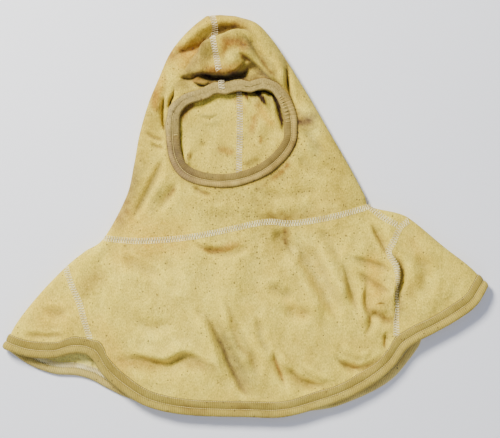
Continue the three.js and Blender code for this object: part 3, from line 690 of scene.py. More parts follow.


# Painted shade and shadow in this list: crown_valley, crown_valley_top and crown_valley_floor under the
# crown's roll; pouch_left, pouch_lip_edge, hollow, hollow_right, hollow_low, shelf, lump_edge and
# curl_shade under and beside the pouch; brow_strip over the brow; right_tuck, left_tuck, left_tuck_outer
# and pouch_crease in the tucks; neck_left along the head's left edge; ear_shade beside the face binding;
# fan_shade, fan_shade_low, cheek_shade, throat_shade, neck_shade and neck_shade_mid on the head;
# main_valley, main_valley_dark, main_slope, third_valley, long_valley, middle_cloud, left_hem_right,
# hem_valley, bowl, cap_left_wave, armhole, armhole_low and the armhole_wave rows in the bib's folds.
# Painted light: pouch_spot is a painted highlight, and temple_right and bib_pale_right are painted paler
# where the lamps leave them darker.
FRONT_STAINS_AND_PAINTED_LIGHT = stains_and_painted_light("""
crown_left | 10 rust 0.75 | -106 184, -92 191, -78 198
head_tone | 130 handled 0.75 | -30 230, -16 130, 0 60
head_left | 26 handled 0.8 | -112 160, -120 110, -136 40, -146 0
neck_left | 14 shade 0.95 | -122 84, -138 40, -150 0, -168 -24
neck_gold | 28 gold 0.7 | -166 10, -126 -14, -84 -30
head_right | 24 handled 0.85 | 100 84, 108 62, 118 36, 128 14
temple_right | 13 pale 0.9 | 72 124, 78 104, 82 84
crown_tone | 46 handled 0.6 | -50 205, -10 195, 30 180
crown_valley | 6 brown 0.95 4 | -92 191, -78 196, -66 200, -56 205, -48 211, -38 216, -26 220
crown_valley_top | 8 brown 0.85 | -46 221, -32 224, -18 228, -4 229, 14 224
crown_valley_floor | 4 soot 0.6 | -40 216, -24 220, -12 226, 2 225
crown_under | 8 gold 0.8 | -70 196, -60 202, -54 206
crown_roll | 8 gold 0.4 | -100 198, -56 232, 0 239, 30 218
crown_right | 12 olive 0.28 | 16 222, 34 200, 48 170
temple_left | 6 gold 1.0 18 | -46 214, -58 198, -70 184, -88 166
left_outside | 9 gold 0.9 | -96 180, -106 152, -114 122
left_outside_dark | 6 rust 0.6 | -102 160, -107 142, -108 118
left_band | 14 handled 0.8 | -98 172, -106 136, -112 96
pouch_patch | 9 rust 1.0 | -22 204, -10 206, -2 203
pouch_patch_left | 5 rust 0.7 | -24 202, -26 192
pouch_patch_right | 6 olive 0.6 | 0 212, 8 202
pouch_pit | 5 rust 0.9 | -4 190, 2 187
pouch_lip | 7 rust 0.9 | -64 173, -48 176, -34 176, -18 176, -7 181, 1 187
pouch_lip_edge | 5.5 brown 0.85 | -72 170, -56 172, -38 172.5, -18 172, -8 177, 2 184
pouch_left | 17 shade 0.85 2 | -38 222, -49 206, -57 193, -65 180, -76 167
pouch_spot | 8 pale 0.8 | -18 190, -13 191
hollow | 6 soot 0.95 | -80 167, -62 168, -50 169, -36 165, -22 165, -10 167
hollow_right | 5 brown 0.85 | -16 166, -8 169, 3 178, 6 192
hollow_low | 7 brown 0.7 | -50 161, -30 162, -12 163, 14 168
shelf | 9 shade 0.75 | -60 156, -20 164, 20 167, 40 158
lump | 6 rust 0.75 | -60 164, -48 163
lump_edge | 2.2 brown 0.95 | -60 161, -53 158, -47 156, -41 159, -37 165
curl_shade | 9 shade 0.6 | 4 182, 14 176, 26 165
brow_strip | 8 shade 0.55 | -92 146, -62 155, -36 161, 0 164, 34 160
right_tuck | 2.2 soot 1.0 | 40 202, 48 183, 50.5 172, 51.5 156, 54 142, 59 125, 62 108
pouch_crease | 3 brown 0.75 | 13 196, 20 187, 28 177, 35 167, 38 159
left_tuck | 2 soot 1.0 | -85 155, -87 144, -90 137, -92 121, -92 110
left_tuck_outer | 2 soot 1.0 | -97 147, -99 134, -99.5 118, -98 106, -96 97
left_wrinkle | 2.5 brown 0.35 | -126 106, -110 94, -96 91
left_wrinkle_low | 3 rust 0.3 | -116 90, -104 83, -96 81
ear_stain | 8 shade 0.95 | 62 112, 70 112, 80 119
ear_shade | 11 brown 0.7 | 46 134, 60 120, 76 111
ear_dark | 5 brown 0.5 | 36 118, 44 112, 48 104
ear_stain_top | 5 brown 0.5 | 64 114, 74 114
chin_streak | 4 brown 0.75 | -81 38, -89 27, -98 14
chin_crease | 3 brown 0.6 | -66 38, -52 29, -38 25
chin_soil | 4 rust 0.9 | 24 38, 44 54, 58 72
chin_soil_low | 4 brown 0.5 | 14 32, 24 38
fan_shade | 6 olive 0.6 | -98 72, -112 42, -128 12, -141 -10
fan_shade_low | 7 olive 0.5 | -104 30, -112 8
cheek_shade | 9 olive 0.4 | 70 92, 96 66
neck_shade | 9 brown 0.4 | 10 4, 60 -2, 120 10
neck_shade_mid | 8 brown 0.35 | 26 -4, 52 -4
throat_grey | 12 handled 0.8 | 4 6, 34 2, 66 10
throat_shade | 22 olive 0.22 | -60 2, 0 12, 60 22
arc | 9 rust 0.85 4 | -62 -34, -42 -43, -22 -40, 6 -28
arc_right | 8 brown 0.75 4 | 46 -8, 48 -22, 48 -44
arc_right_cloud | 17 handled 0.9 | 34 -12, 40 -40
armpit_left | 15 brown 0.45 | -178 -74, -193 -86
main_valley | 3 brown 0.5 | -56 -108, -42 -130, -34 -146, -26 -162, -21 -176, -13 -192, -3 -208, 12 -222
main_valley_dark | 14 shade 0.65 5 | -52 -112, -34 -146, -21 -176, -4 -208, 8 -220
main_slope | 20 olive 0.85 | -18 -152, -8 -172, 2 -194
second_valley | 5 rust 0.3 | -24 -100, -16 -131, -7 -155, 5 -170, 12 -190
third_valley | 5 olive 0.4 | 14 -124, 20 -152, 32 -168
left_hem | 10 rust 0.5 | -176 -176, -140 -176, -116 -178, -84 -181
left_hem_right | 9 brown 0.5 13 | -104 -176, -72 -174, -52 -178, -18 -184
thin_crease | 2.2 brown 0.3 5 | 116 -56, 123 -82, 130 -101, 138 -122
hook | 4 brown 0.3 2 | 144 -76, 143 -104, 149 -120, 149 -133, 140 -144
hook_low | 2 rust 0.8 | 149 -118, 149 -131
armhole | 5 brown 0.8 | 180 -46, 188 -66, 185 -92
armhole_low | 9 shade 0.8 | 182 -70, 184 -128
armhole_gold | 14 gold 0.7 | 152 -56, 158 -104
armhole_wave | 7 olive 0.25 | 120 -50, 166 -60
armhole_wave_mid | 8 shade 0.25 | 132 -66, 160 -84, 178 -94
armhole_wave_low | 9 brown 0.6 5 | 142 -110, 160 -119, 172 -126, 186 -132
low_crease | 2.2 rust 0.9 | 167 -144, 167 -161
bowl | 7 brown 0.7 3 | 106 -170, 118 -179, 132 -183, 147 -181, 160 -173, 172 -156
hem_crease | 3.2 rust 1.0 | 34 -165, 40 -185, 49 -207
hem_valley | 5 brown 0.4 10 | 46 -178, 60 -194, 74 -201, 108 -207
long_valley | 9 olive 0.2 | 58 -30, 80 -62, 92 -86, 108 -122
middle_cloud | 9 olive 0.35 | 28 -80, 46 -92, 64 -94
middle_cloud_low | 9 gold 0.4 | 50 -104, 66 -116
cap_right | 13 handled 0.7 | 196 -88, 212 -72, 226 -56
cap_right_core | 8 rust 0.2 | 198 -92, 210 -74
cap_right_top | 12 gold 0.4 | 196 -30, 214 -50
shoulder_crease | 2.2 brown 0.5 6 | 148 -6, 163 -32, 172 -52
slit | 1.3 soot 1.0 | 156 -106, 162 -104.5, 168 -104
bib_pale | 45 pale 0.15 | -120 -70, -60 -90
bib_pale_low | 25 pale 0.3 | -110 -150, -70 -150
bib_pale_right | 26 pale 0.65 | 64 -40, 104 -84
bib_gold | 20 gold 0.5 | -150 -50, -110 -40
cap_left | 30 gold 0.55 | -240 -120, -215 -120
cap_left_wave | 8 olive 0.35 | -232 -118, -216 -112
bib_gold_left | 16 gold 0.5 | -176 -130, -150 -180
""")
# Dots of dark dirt, each as its left end, width and strength.
DOTS = numbers("""
-145 -36 1.8 1, -167 -77 1.2 0.8, -106 -94 1.4 0.9, 47 -33 1.6 1,
-18 -126 1.2 0.9, 120 -24 1.2 0.8, 228 -104 1.3 0.8, -86 176 1.3 0.8
""")
for x, y, width, strength in DOTS:
    FRONT_STAINS_AND_PAINTED_LIGHT.append(Stain(np.array([(x, y), (x + 1, y)]), width, width, TINTS["soot"], strength))
# Painted shadow in this list: under_brow, under_left and under_right under the face binding's edge, and
# inner_fold, inner_fold_mid, inner_fold_right and inner_patch in the folds and the upper left corner seen
# through the face opening. Painted light: hem_gap_right makes the back cloth paler in the front hem's
# shadow, and hem_gap_left does the same together with the paler inside of the cloth.
BACK_STAINS_AND_PAINTED_LIGHT = stains_and_painted_light("""
inner_long | 6 rust 0.7 | 16 130, 10 112, 5 92
inner_small | 2.6 rust 0.7 | 18 96, 18 88
inner_spot | 6 rust 0.75 | -30 80, -18 77
inner_soot | 5 soot 0.55 | 2 63, 12 68
inner_mark | 3 soot 0.6 | -53 88, -51 87
inner_top | 7 rust 0.45 | -10 140, -4 128
inner_right | 8 gold 0.8 | 16 132, 30 112
inner_cloud | 14 olive 0.35 | -64 104, -40 112
inner_corner | 3 brown 0.75 | -66 78, -70 66
inner_fold | 3.4 gap 2.2 | 4 163, 14 150, 20 142, 28 129
inner_fold_right | 6 shade 0.7 | 6 152, 14 140, 18 122
inner_fold_mid | 2 soot 1.2 | -2 158, 0 147, 4 136
inner_wrinkle | 2.6 olive 0.6 | -60 124, -46 120, -36 122
inner_patch | 6 brown 1.2 | -56 138, -67 132, -75 121, -77 110
inner_tone | 90 handled 0.45 | -50 100, 10 100
hem_gap_right | 16 pale 0.6 | 150 -190, 186 -168, 214 -134
hem_gap_left | 18 inside_out 1.0 | -292 -156, -262 -170, -230 -176, -180 -172, -160 -180
under_brow | 2.6 gap 1.4 | -24 147, -6 149, 10 150, 30 149, 44 132
under_left | 2.6 soot 0.85 | -79 128, -80 100, -77 74, -66 58
under_right | 4 gap 2.2 | 22 151, 33.5 145.5, 39 134, 41.8 124, 44 110, 45 94
""")
FACE_STAINS = stains_and_painted_light("""
left_side | 16 shade 0.85 | -92 112, -88 78, -74 52, -40 40
right_side | 16 handled 0.9 | 58 118, 56 92, 38 66, 14 50
right_edge | 4 brown 0.6 | 63 116, 63 92, 47 66
left_corner | 10 olive 0.4 | -90 122, -84 134, -70 144
top_right | 8 handled 0.9 | 20 162, 44 152, 56 130
""")
HEM_STAINS = stains_and_painted_light("""
left_soil | 7 brown 0.5 | -88 -226, -60 -232, -40 -234
middle_soil | 6 brown 0.4 | -14 -230, 10 -231
right_soil | 8 brown 0.2 | 176 -186, 196 -164, 206 -154
middle_pale | 10 pale 0.5 | 36 -220, 80 -214
left_tip | 7 handled 0.4 | -286 -164, -240 -168, -206 -166
""")
HOLLOW_REACH = 5.5
HOLLOW_STRENGTH = 0.13
SOIL_AND_PAINTED_SHADE = np.array([1.0, 1.03, 0.35])  # what soil and painted shade in the hollows take from red, green and blue
FOOT_SOIL_AND_SHADOW = np.array([0.50, 0.58, 0.45])  # what soil and painted shadow take along the foot of the face binding
HOLLOW_FROM_TO = (-0.8, 1.9)
FOOT_SOIL_AND_SHADOW_WIDTH = 3.2
FOOT_SOIL_AND_SHADOW_FROM_TO = (-190, 30)  # where it begins, and where it is thickest


def soiled_and_shaded(x, y):
    """Hollows of the front cloth get soil and painted shade, its ridges are a little paler, and the foot
    of the face binding gets soil and painted shadow.
    """
    turn = np.arange(6) * math.pi / 3
    around_x = (x + HOLLOW_REACH * np.cos(turn)[:, None]).ravel()
    around_y = (y + HOLLOW_REACH * np.sin(turn)[:, None]).ravel()
    around = cloth_height(around_x, around_y).reshape(6, len(x)).mean(axis=0)
    hollow = np.clip(around - cloth_height(x, y), *HOLLOW_FROM_TO)
    # hollows are darkened as soil and painted shade, ridges made a little paler
    depth = (hollow * HOLLOW_STRENGTH)[:, None]
    # a band of soil and painted shadow along the foot of the face binding
    at_foot = between(face_reach(x, y) - face_band(y), FOOT_SOIL_AND_SHADOW_WIDTH, 0)
    soil = at_foot * between(x, *FOOT_SOIL_AND_SHADOW_FROM_TO)
    return (1 - depth * SOIL_AND_PAINTED_SHADE) * (1 - soil[:, None] * FOOT_SOIL_AND_SHADOW)


# Stains, painted shade and painted light are all multiplied into the cloth's colour here.
def stained_and_painted(x, y, marks):
    """What the cloth's colour is multiplied by at each point, for red, green and blue."""
    colour = np.ones((len(x), 3))
    ragged = 0.92 + waves(x, y, RAGGED)
    for mark in marks:
        line = curve(mark.points)
        left, right = MARK_FOOT * mark.left, MARK_FOOT * mark.right
        tapered = np.linalg.norm(line[-1] - line[0]) > 4 * mark.left
        near, amount, _ = strength_near(line, left, right, x, y, tapered=tapered)
        amount = np.clip(amount * mark.strength * ragged[near], 0, 1)
        colour[near] *= 1 + (np.array(mark.tint) - 1) * amount[:, None]
    return colour


SPECKS_EVERYWHERE = 0.11
SPECKS = mounds("""
throat | 0.5 150 90 | 10 40
neck | 0.28 190 90 | 20 -40
""")


def speck_density(x, y):
    """How thickly dark specks lie: most of all on the head below the face."""
    return SPECKS_EVERYWHERE + swelling(SPECKS, x, y)


class Material:
    """A material, with short calls that add nodes to it."""

    def __init__(self, name, roughness):
        self.made = bpy.data.materials.new(name)
        self.made.use_nodes = True
        self.tree = self.made.node_tree
        self.shader = self.tree.nodes["Principled BSDF"]
        self.shader.inputs["Roughness"].default_value = roughness

    def fill(self, socket, value):
        """Links a socket to another one, or sets its value."""
        if isinstance(value, bpy.types.NodeSocket):
            self.tree.links.new(value, socket)
        else:
            socket.default_value = (*value, 1) if socket.type == "RGBA" else value

    def node(self, kind, inputs=(), **settings):
        """The outputs of a new node with its settings made and its inputs filled."""
        made = self.tree.nodes.new(kind)
        for key, value in settings.items():
            setattr(made, key, value)
        for key, value in dict(inputs).items():
            self.fill(made.inputs[key], value)
        return made.outputs

    def math(self, operation, a, b):
        return self.node("ShaderNodeMath", {0: a, 1: b}, operation=operation)[0]

    def times(self, a, b):
        return self.math("MULTIPLY", a, b)

    def mixed(self, a, b, share, blend="MIX"):
        return self.node("ShaderNodeMix", {0: share, 6: a, 7: b}, data_type="RGBA", blend_type=blend)[2]

    def shaded(self, colour, shade):
        return self.mixed(colour, shade, 1.0, "MULTIPLY")

    def ramp(self, value, start, end, low=0.0, high=1.0):
        """value from start to end becomes low to high."""
        inputs = {"Value": value, "From Min": start, "From Max": end, "To Min": low, "To Max": high}
        return self.node("ShaderNodeMapRange", inputs)[0]

    def noise(self, where, scale, detail=2.0, roughness=0.5):
        inputs = {"Vector": where, "Scale": scale, "Detail": detail, "Roughness": roughness}
        return self.node("ShaderNodeTexNoise", inputs)["Fac"]

    def bump(self, height, strength, depth):
        inputs = {"Height": height, "Strength": strength, "Distance": depth * MM}
        self.fill(self.shader.inputs["Normal"], self.node("ShaderNodeBump", inputs)["Normal"])


Ribs = namedtuple("Ribs", "pitch furrow_shade depth")
WALE_PITCH = 1.5
WALE_DEPTH = 0.25
LINT = (0.11, 0.07, 0.03)
LINT_SCALE = 300.0
SHEEN = {"Weight": 0.12, "Tint": (1.0, 0.85, 0.5, 1.0), "Roughness": 0.5}


def heathered(knit, where, base, deep, pale, grain_shades):
    """Mottled colours of brushed yarn, multiplied by the cloth's tint: dirt, painted shade and painted
    light.
    """
    blotch = knit.ramp(knit.noise(where, 16, 3), 0.35, 0.68)
    colour = knit.mixed(base, deep, knit.times(blotch, 0.6))
    cloud = knit.ramp(knit.noise(where, 48, 4, 0.6), 0.42, 0.7)
    colour = knit.mixed(colour, pale, knit.times(cloud, 0.5))
    drawn = knit.node("ShaderNodeMapping", {"Vector": where, "Scale": (1.0, 0.55, 1.0)})["Vector"]
    grain = knit.ramp(knit.noise(drawn, 760, 3, 0.7), 0.30, 0.70, *grain_shades)
    colour = knit.shaded(colour, grain)
    return knit.shaded(colour, knit.node("ShaderNodeAttribute", attribute_name="tint")["Color"])


def specked(knit, where, colour):
    """Dark lint in some of the cells of a fine pattern, as many as the cloth's own specks say."""
    cells = knit.node("ShaderNodeTexVoronoi", {"Vector": where, "Scale": LINT_SCALE})
    parts = knit.node("ShaderNodeSeparateColor", {"Color": cells["Color"]})
    density = knit.node("ShaderNodeAttribute", attribute_name="specks")["Fac"]
    chosen = knit.math("LESS_THAN", parts["Red"], density)
    inside = knit.math("LESS_THAN", cells["Distance"], knit.ramp(parts["Green"], 0, 1, 0.12, 0.32))
    return knit.mixed(colour, LINT, knit.times(knit.times(chosen, inside), 0.8))


def knit_material(name, base, deep, pale, ribs=None):
    """Brushed knit with fine wales, or with the ribs of a binding."""
    knit = Material(name, 0.95)
    where = knit.node("ShaderNodeTexCoord")["Object"]
    colour = heathered(knit, where, base, deep, pale, (0.8, 1.15) if ribs else (0.62, 1.32))
    colour = specked(knit, where, colour)
    pitch, depth, waver = (ribs.pitch, ribs.depth, 0.4) if ribs else (WALE_PITCH, WALE_DEPTH, 1.2)
    wave = {
        "Vector": knit.node("ShaderNodeUVMap", uv_map="cloth")["UV"],
        "Scale": math.pi / 10 / (pitch * MM),
        "Distortion": waver,
        "Detail": 1.0,
    }
    ridge = knit.node("ShaderNodeTexWave", wave, bands_direction="X")["Fac"]
    if ribs:
        colour = knit.shaded(colour, knit.ramp(ridge, 0.15, 0.7, ribs.furrow_shade, 1.05))
        fluff = knit.times(knit.noise(where, 700, 2), 0.5)
    else:
        fluff = knit.noise(where, 420, 3, 0.65)
    knit.fill(knit.shader.inputs["Base Color"], colour)
    knit.bump(knit.math("ADD", knit.times(ridge, depth), fluff), 0.8, 1.1)
    for key, value in SHEEN.items():
        knit.shader.inputs["Sheen " + key].default_value = value
    knit.shader.inputs["Specular IOR Level"].default_value = 0.15
    return knit.made


def thread_material(name, colour, dull):
    thread = Material(name, 0.8)
    where = thread.node("ShaderNodeTexCoord")["Object"]
    soil = thread.ramp(thread.noise(where, 90, 3), 0.4, 0.7)
    thread.fill(thread.shader.inputs["Base Color"], thread.mixed(colour, dull, soil))
    thread.bump(thread.noise(where, 1800, 1), 0.4, 0.2)
    return thread.made


def floor_material():
    floor = Material("floor", 0.9)
    where = floor.node("ShaderNodeTexCoord")["Object"]
    shade = floor.ramp(floor.noise(where, 3, 2), 0.3, 0.7)
    floor.fill(floor.shader.inputs["Base Color"], floor.mixed((0.88, 0.88, 0.88), (0.9, 0.9, 0.9), shade))
    return floor.made


KNIT = knit_material("knit_cloth", (0.76, 0.58, 0.064), (0.62, 0.44, 0.052), (0.90, 0.73, 0.105))
HEM_KNIT = knit_material(
    "hem_knit", (0.56, 0.41, 0.066), (0.44, 0.30, 0.048), (0.66, 0.52, 0.095), Ribs(2.4, 0.74, 0.45)
)
FACE_KNIT = knit_material(
    "face_knit", (0.37, 0.255, 0.058), (0.28, 0.185, 0.042), (0.45, 0.34, 0.085), Ribs(1.9, 0.84, 0.25)
)
BROW_KNIT = knit_material("brow_knit", (0.37, 0.272, 0.073), (0.285, 0.202, 0.05), (0.44, 0.335, 0.105))
WHITE_THREAD = thread_material("seam_thread", (0.97, 0.86, 0.42), (0.72, 0.58, 0.23))
SOILED_THREAD = thread_material("soiled_seam_thread", (0.90, 0.77, 0.42), (0.42, 0.32, 0.16))
TAN_THREAD = thread_material("hem_thread", (0.86, 0.66, 0.18), (0.60, 0.44, 0.10))


# Panels

def panel(name, plan_x, plan_y, front, faces):
    """A panel of cloth over the used points of a plan, tied to the hood's body, with the solid that it
    stands for hidden.
    """
    used, inverse = np.unique(faces, return_inverse=True)
    faces = inverse.reshape(faces.shape)
    x, y, front = plan_x[used], plan_y[used], front[used]
    points = cloth_point(front, x, y)
    # The tint holds stains with painted shade and painted light, and on the front also soil with painted
    # shade in the hollows and painted shadow along the face binding's foot.
    tint = stained_and_painted(x, y, BACK_STAINS_AND_PAINTED_LIGHT)
    tint[front] = stained_and_painted(x[front], y[front], FRONT_STAINS_AND_PAINTED_LIGHT) * soiled_and_shaded(x[front], y[front])
    uv = np.stack([x, y], axis=1)[faces.ravel()] * MM
    specks = speck_density(x, y)
    piece = object_of(name + "_cloth", points, faces, KNIT, uv, tint, specks)
    thickness = piece.modifiers.new("cloth", "SOLIDIFY")
    thickness.thickness = CLOTH * MM
    thickness.offset = 0
    return tied(piece, name)


def head_sections():
    """Section numbers of the head's rows, which are closer together above the throat."""
    dense = np.linspace(0, NECK, 400)
    left_x, left_y, right_x, right_y = outline_at(dense)
    middle = np.stack([(left_x + right_x) / 2, (left_y + right_y) / 2], axis=1)
    pitch = mix(HEAD_PITCH_BELOW, HEAD_PITCH_ABOVE, between(middle[1:, 1], *FINE_FROM_TO))
    steps = np.linalg.norm(np.diff(middle, axis=0), axis=1) / pitch
    count = np.concatenate([[0], np.cumsum(steps)])
    return np.interp(np.linspace(0, count[-1], int(round(count[-1])) + 1), count, dense)


def head_panel():
    columns = Columns(*HEAD_COLUMNS)
    rows = [columns.plan(section) for section in head_sections()[:-1]]
    rows.append(columns.plan(NECK, SEAM_GAP / 2))
    closing = [mix(CROWN[:, None], np.array(rows[0]), share) for share in CROWN_SHARES]
    x, y = np.array(closing + rows).transpose(1, 0, 2)
    front = np.broadcast_to(columns.front, x.shape)
    faces, _ = grid_faces(*x.shape)
    x, y, front = x.ravel(), y.ravel(), front.ravel()
    outside = face_reach(x[faces].mean(axis=1), y[faces].mean(axis=1)) > FACE_RAW_EDGE
    kept = faces[outside | ~front[faces].all(axis=1)]
    return panel("head_panel", x, y, front, kept)


def side_of(line, x, y):
    return nearest(even(curve(line), 3), x, y)[2]


def snap(x, y, chosen, line):
    """Moves the chosen points onto a line seen from above."""
    dense = even(curve(line), 0.3)
    for k in np.flatnonzero(chosen):
        found = np.argmin(np.hypot(dense[:, 0] - x[k], dense[:, 1] - y[k]))
        x[k], y[k] = dense[found]


BIB = Columns(*BIB_COLUMNS)


def bib_sections():
    """Section numbers of the bib's rows, a row for each ring and a column for each column."""
    last_free = BIB.hem_section(HEM_BAND + 6)
    free = np.linspace(0, 1, BIB_ROWS)[:, None] * (last_free - NECK) + NECK
    bound = [BIB.hem_section(reach) for reach in BOUND_REACHES]
    return np.vstack([free, bound])


def bib_panels():
    """The front and back bib and the shoulder caps, cut from one grid along the seams."""
    x, y = np.array([BIB.plan(section) for section in bib_sections()]).transpose(1, 0, 2)
    y[0] -= SEAM_GAP / 2
    faces, _ = grid_faces(*x.shape)
    front = np.broadcast_to(BIB.front, x.shape).ravel()
    x, y = x.ravel(), y.ravel()
    middle_x, middle_y = x[faces].mean(axis=1), y[faces].mean(axis=1)
    left_cap = side_of(LEFT_ARMHOLE, middle_x, middle_y) < 0
    right_cap = side_of(RIGHT_ARMHOLE, middle_x, middle_y) > 0
    is_front = front[faces].sum(axis=1) >= 3
    beyond = (side_of(RIGHT_SHOULDER, middle_x, middle_y) > 0) & (middle_x > SHOULDER_FROM_X)
    bib = ~left_cap & ~right_cap
    in_front = is_front & ~beyond
    owned = {
        "front_bib": bib & in_front,
        "back_bib": bib & ~in_front,
        "left_shoulder_cap": left_cap & ~right_cap,
        "right_shoulder_cap": right_cap,
    }
    touched = {name: np.isin(np.arange(len(x)), faces[own]) for name, own in owned.items()}
    front_bib, back_bib, left, right = touched.values()
    snap(x, y, left & (front_bib | back_bib), LEFT_ARMHOLE)
    snap(x, y, right & (front_bib | back_bib), RIGHT_ARMHOLE)
    snap(x, y, front_bib & back_bib & (x > SHOULDER_FROM_X) & front & ~right, RIGHT_SHOULDER)
    return {name: panel(name, x, y, front, faces[own]) for name, own in owned.items()}


# Bindings

def swept(name, loops, lengths, material, colours):
    """A closed strip from loops of points, joined side by side, with ribs across its length."""
    points = np.array(loops)
    faces, corners = grid_faces(points.shape[0], points.shape[1], wrap_rows=True)
    u = np.append(lengths, 2 * lengths[-1] - lengths[-2])
    v = np.arange(points.shape[0] + 1.0)
    uv = np.stack([np.stack([u[i], v[j]], axis=1) for j, i in corners], axis=1) * MM
    flat = points.reshape(-1, 3)
    specks = np.full(len(flat), BINDING_SPECKS)
    colours = colours.reshape(-1, 3)
    piece = object_of(name + "_strip", flat, faces[:, ::-1], material, uv[:, ::-1], colours, specks)
    return tied(piece, name)


def rounded(t):
    """Height of a rounded edge, from 0 at its foot to 1."""
    return math.sqrt(1 - (1 - t) ** EDGE_ROUNDNESS)


def strip_profile(band, row, turn, outer_swell, inner_swell):
    """A strip's section as pairs of reach from the finished edge and rise from the cloth's centre."""
    profile = [(band, STRIP_INSIDE)]
    for start, end, swell in ((band, row, inner_swell), (row, 0, outer_swell)):
        for t in np.linspace(0, 1, 11)[:-1]:
            rise = STRIP_OUTSIDE - STITCH_DENT + (swell + STITCH_DENT) * math.sin(math.pi * t) ** 0.5
            if start == row and t > 0.5:
                rise = (STRIP_OUTSIDE + swell) * rounded(2 - 2 * t)
            profile.append((mix(start, end, t), rise))
    profile.append((0, 0))
    for t in np.linspace(0, 1, 9)[1:-1]:
        swollen = (STRIP_OUTSIDE + outer_swell) * rounded(min(2 * t, 1))
        profile.append((turn * t, -mix(swollen, STRIP_OUTSIDE, smooth(2 * t - 1))))
    cloth_end = RAW_EDGE - 0.3
    profile += [(turn, -STRIP_OUTSIDE), (turn, -STRIP_INSIDE)]
    return profile + [(cloth_end, -STRIP_INSIDE), (cloth_end, STRIP_INSIDE)]


def strip_shade(reach, band, row, inner_row, outer_row):
    """How light a binding is at a reach: each row's own shade, with painted shade in the stitched grooves.
    """
    shade = mix(outer_row, inner_row, between(reach, row - 0.5, row + 0.5))
    # painted shade along the stitched grooves at the row and at the band's edge
    for line in (row, band):
        shade *= mix(PAINTED_GROOVE_SHADE, 1, between(abs(reach - line), 0, 1.5))
    return shade


class Rings:
    """Rings of points parallel to a binding's edge, and the outward directions there."""

    def __init__(self, reaches, points, normals):
        self.reaches = reaches
        self.points = points
        self.normals = normals
        self.lengths = lengths_along(points[0])

    def at(self, reach):
        """Points and outward directions all round at one reach from the edge."""
        last = len(self.reaches) - 2
        k = int(np.clip(np.searchsorted(self.reaches, reach, side="right") - 1, 0, last))
        share = (reach - self.reaches[k]) / (self.reaches[k + 1] - self.reaches[k])
        points = mix(self.points[k], self.points[k + 1], share)
        return points, unit(mix(self.normals[k], self.normals[k + 1], share))

    def rows(self, reaches):
        """The same for several reaches, as two arrays."""
        points, ups = zip(*(self.at(reach) for reach in reaches))
        return np.array(points), np.array(ups)


def hem_rings():
    columns = Columns(*HEM_COLUMNS)
    plans = [columns.plan(columns.hem_section(reach)) for reach in HEM_REACHES]
    rings = np.array([cloth_point(columns.front, x, y) for x, y in plans])
    along = np.roll(rings, -1, axis=1) - np.roll(rings, 1, axis=1)
    inward = np.gradient(rings, axis=0)
    normals = unit(np.cross(along, inward))
    for _ in range(3):
        normals = unit(np.roll(normals, 1, axis=1) + 2 * normals + np.roll(normals, -1, axis=1))
    return columns.front, Rings(HEM_REACHES, rings, normals)


# Painted light on the back layer of the hem binding, against the front hem's shadow, and more on the right
# where that shadow is darkest.
BACK_HEM_PAINTED_LIGHT = np.array([1.25, 1.3, 1.9])
BACK_HEM_PAINTED_LIGHT_RIGHT = np.array([1.4, 1.45, 2.4])
BACK_HEM_TURNS = (90, 150)  # where the one becomes the other
HEM_MOTTLE = [(0.06, 40, 21), (0.03, 12, 22)]
HEM_SHADES = (0.72, 0.92)  # of the inner and the outer row
# Painted light: the hem binding is painted paler towards the right, where the key light leaves it darker.
PAINTED_LIGHT_TO_RIGHT = 0.14


def hem_binding(front, rings):
    reaches, rises = np.array(strip_profile(HEM_BAND, HEM_ROW, HEM_TURN, *HEM_SWELLS)).T
    loops, ups = rings.rows(reaches)
    loops = loops + ups * rises[:, None, None]
    x, y = loops[..., 0], loops[..., 1]
    rows = np.array([strip_shade(reach, HEM_BAND, HEM_ROW, *HEM_SHADES) for reach in reaches])
    shade = rows[:, None] * (1 + waves(x, y, HEM_MOTTLE))
    # painted light: paler towards the right, and much paler on the back layer
    shade *= 1 + PAINTED_LIGHT_TO_RIGHT * x / SECTIONS["right_x"][TIPS]
    back_painted_light = mix(BACK_HEM_PAINTED_LIGHT, BACK_HEM_PAINTED_LIGHT_RIGHT, between(x, *BACK_HEM_TURNS)[..., None])
    marks = stained_and_painted(x.ravel(), y.ravel(), HEM_STAINS).reshape(shade.shape + (3,))
    colours = shade[..., None] * np.where(front[:, None], marks, back_painted_light)
    return swept("hem_binding", loops, rings.lengths, HEM_KNIT, colours)


def face_stations():
    """Evenly spaced points of the face opening, and the direction away from it at each."""
    loop = even(OPENING_LOOP, FACE_PITCH)[:-1]
    ahead, behind = np.roll(loop, -4, axis=0), np.roll(loop, 4, axis=0)
    return loop, -left_of(unit(ahead - behind))


# Where the face binding is gathered, a row for each place.
PUCKERS = table("x y radius pitch depth", "50 130 25 3.6 0.8, -86 99 11 2.6 0.5")
FACE_SHARES = np.linspace(0, 1.2, 13)
FACE_MOTTLE = [(0.07, 16, 31)]
FACE_SHADES = (1.22, 0.74)  # of the inner and the outer row
BROW_SHADE = 1.1
BROW_FLATTENS = 0.85  # how nearly the brow strip is flat and plain


def face_rings():
    """Rings round the face at shares of the binding's width, and each station's brow share and pucker."""
    loop, away = face_stations()
    brow = brow_share(loop[:, 1])
    band = face_band(loop[:, 1])
    plans = [(loop + away * (band * share)[:, None]).T for share in FACE_SHARES]
    front = np.ones(len(loop), bool)
    points = np.array([cloth_point(front, x, y) for x, y in plans])
    normals = np.array([cloth_normal(front, x, y) for x, y in plans])
    rings = Rings(FACE_SHARES, points, normals)
    pucker = np.zeros(len(loop))
    for x, y, radius, pitch, depth in zip(*PUCKERS.values()):
        near = bump(np.hypot(loop[:, 0] - x, loop[:, 1] - y) / radius)
        uneven = 1.2 * np.sin(rings.lengths / 5)
        pucker += depth * near * np.sin(rings.lengths * 2 * math.pi / pitch + uneven)
    return rings, brow, pucker


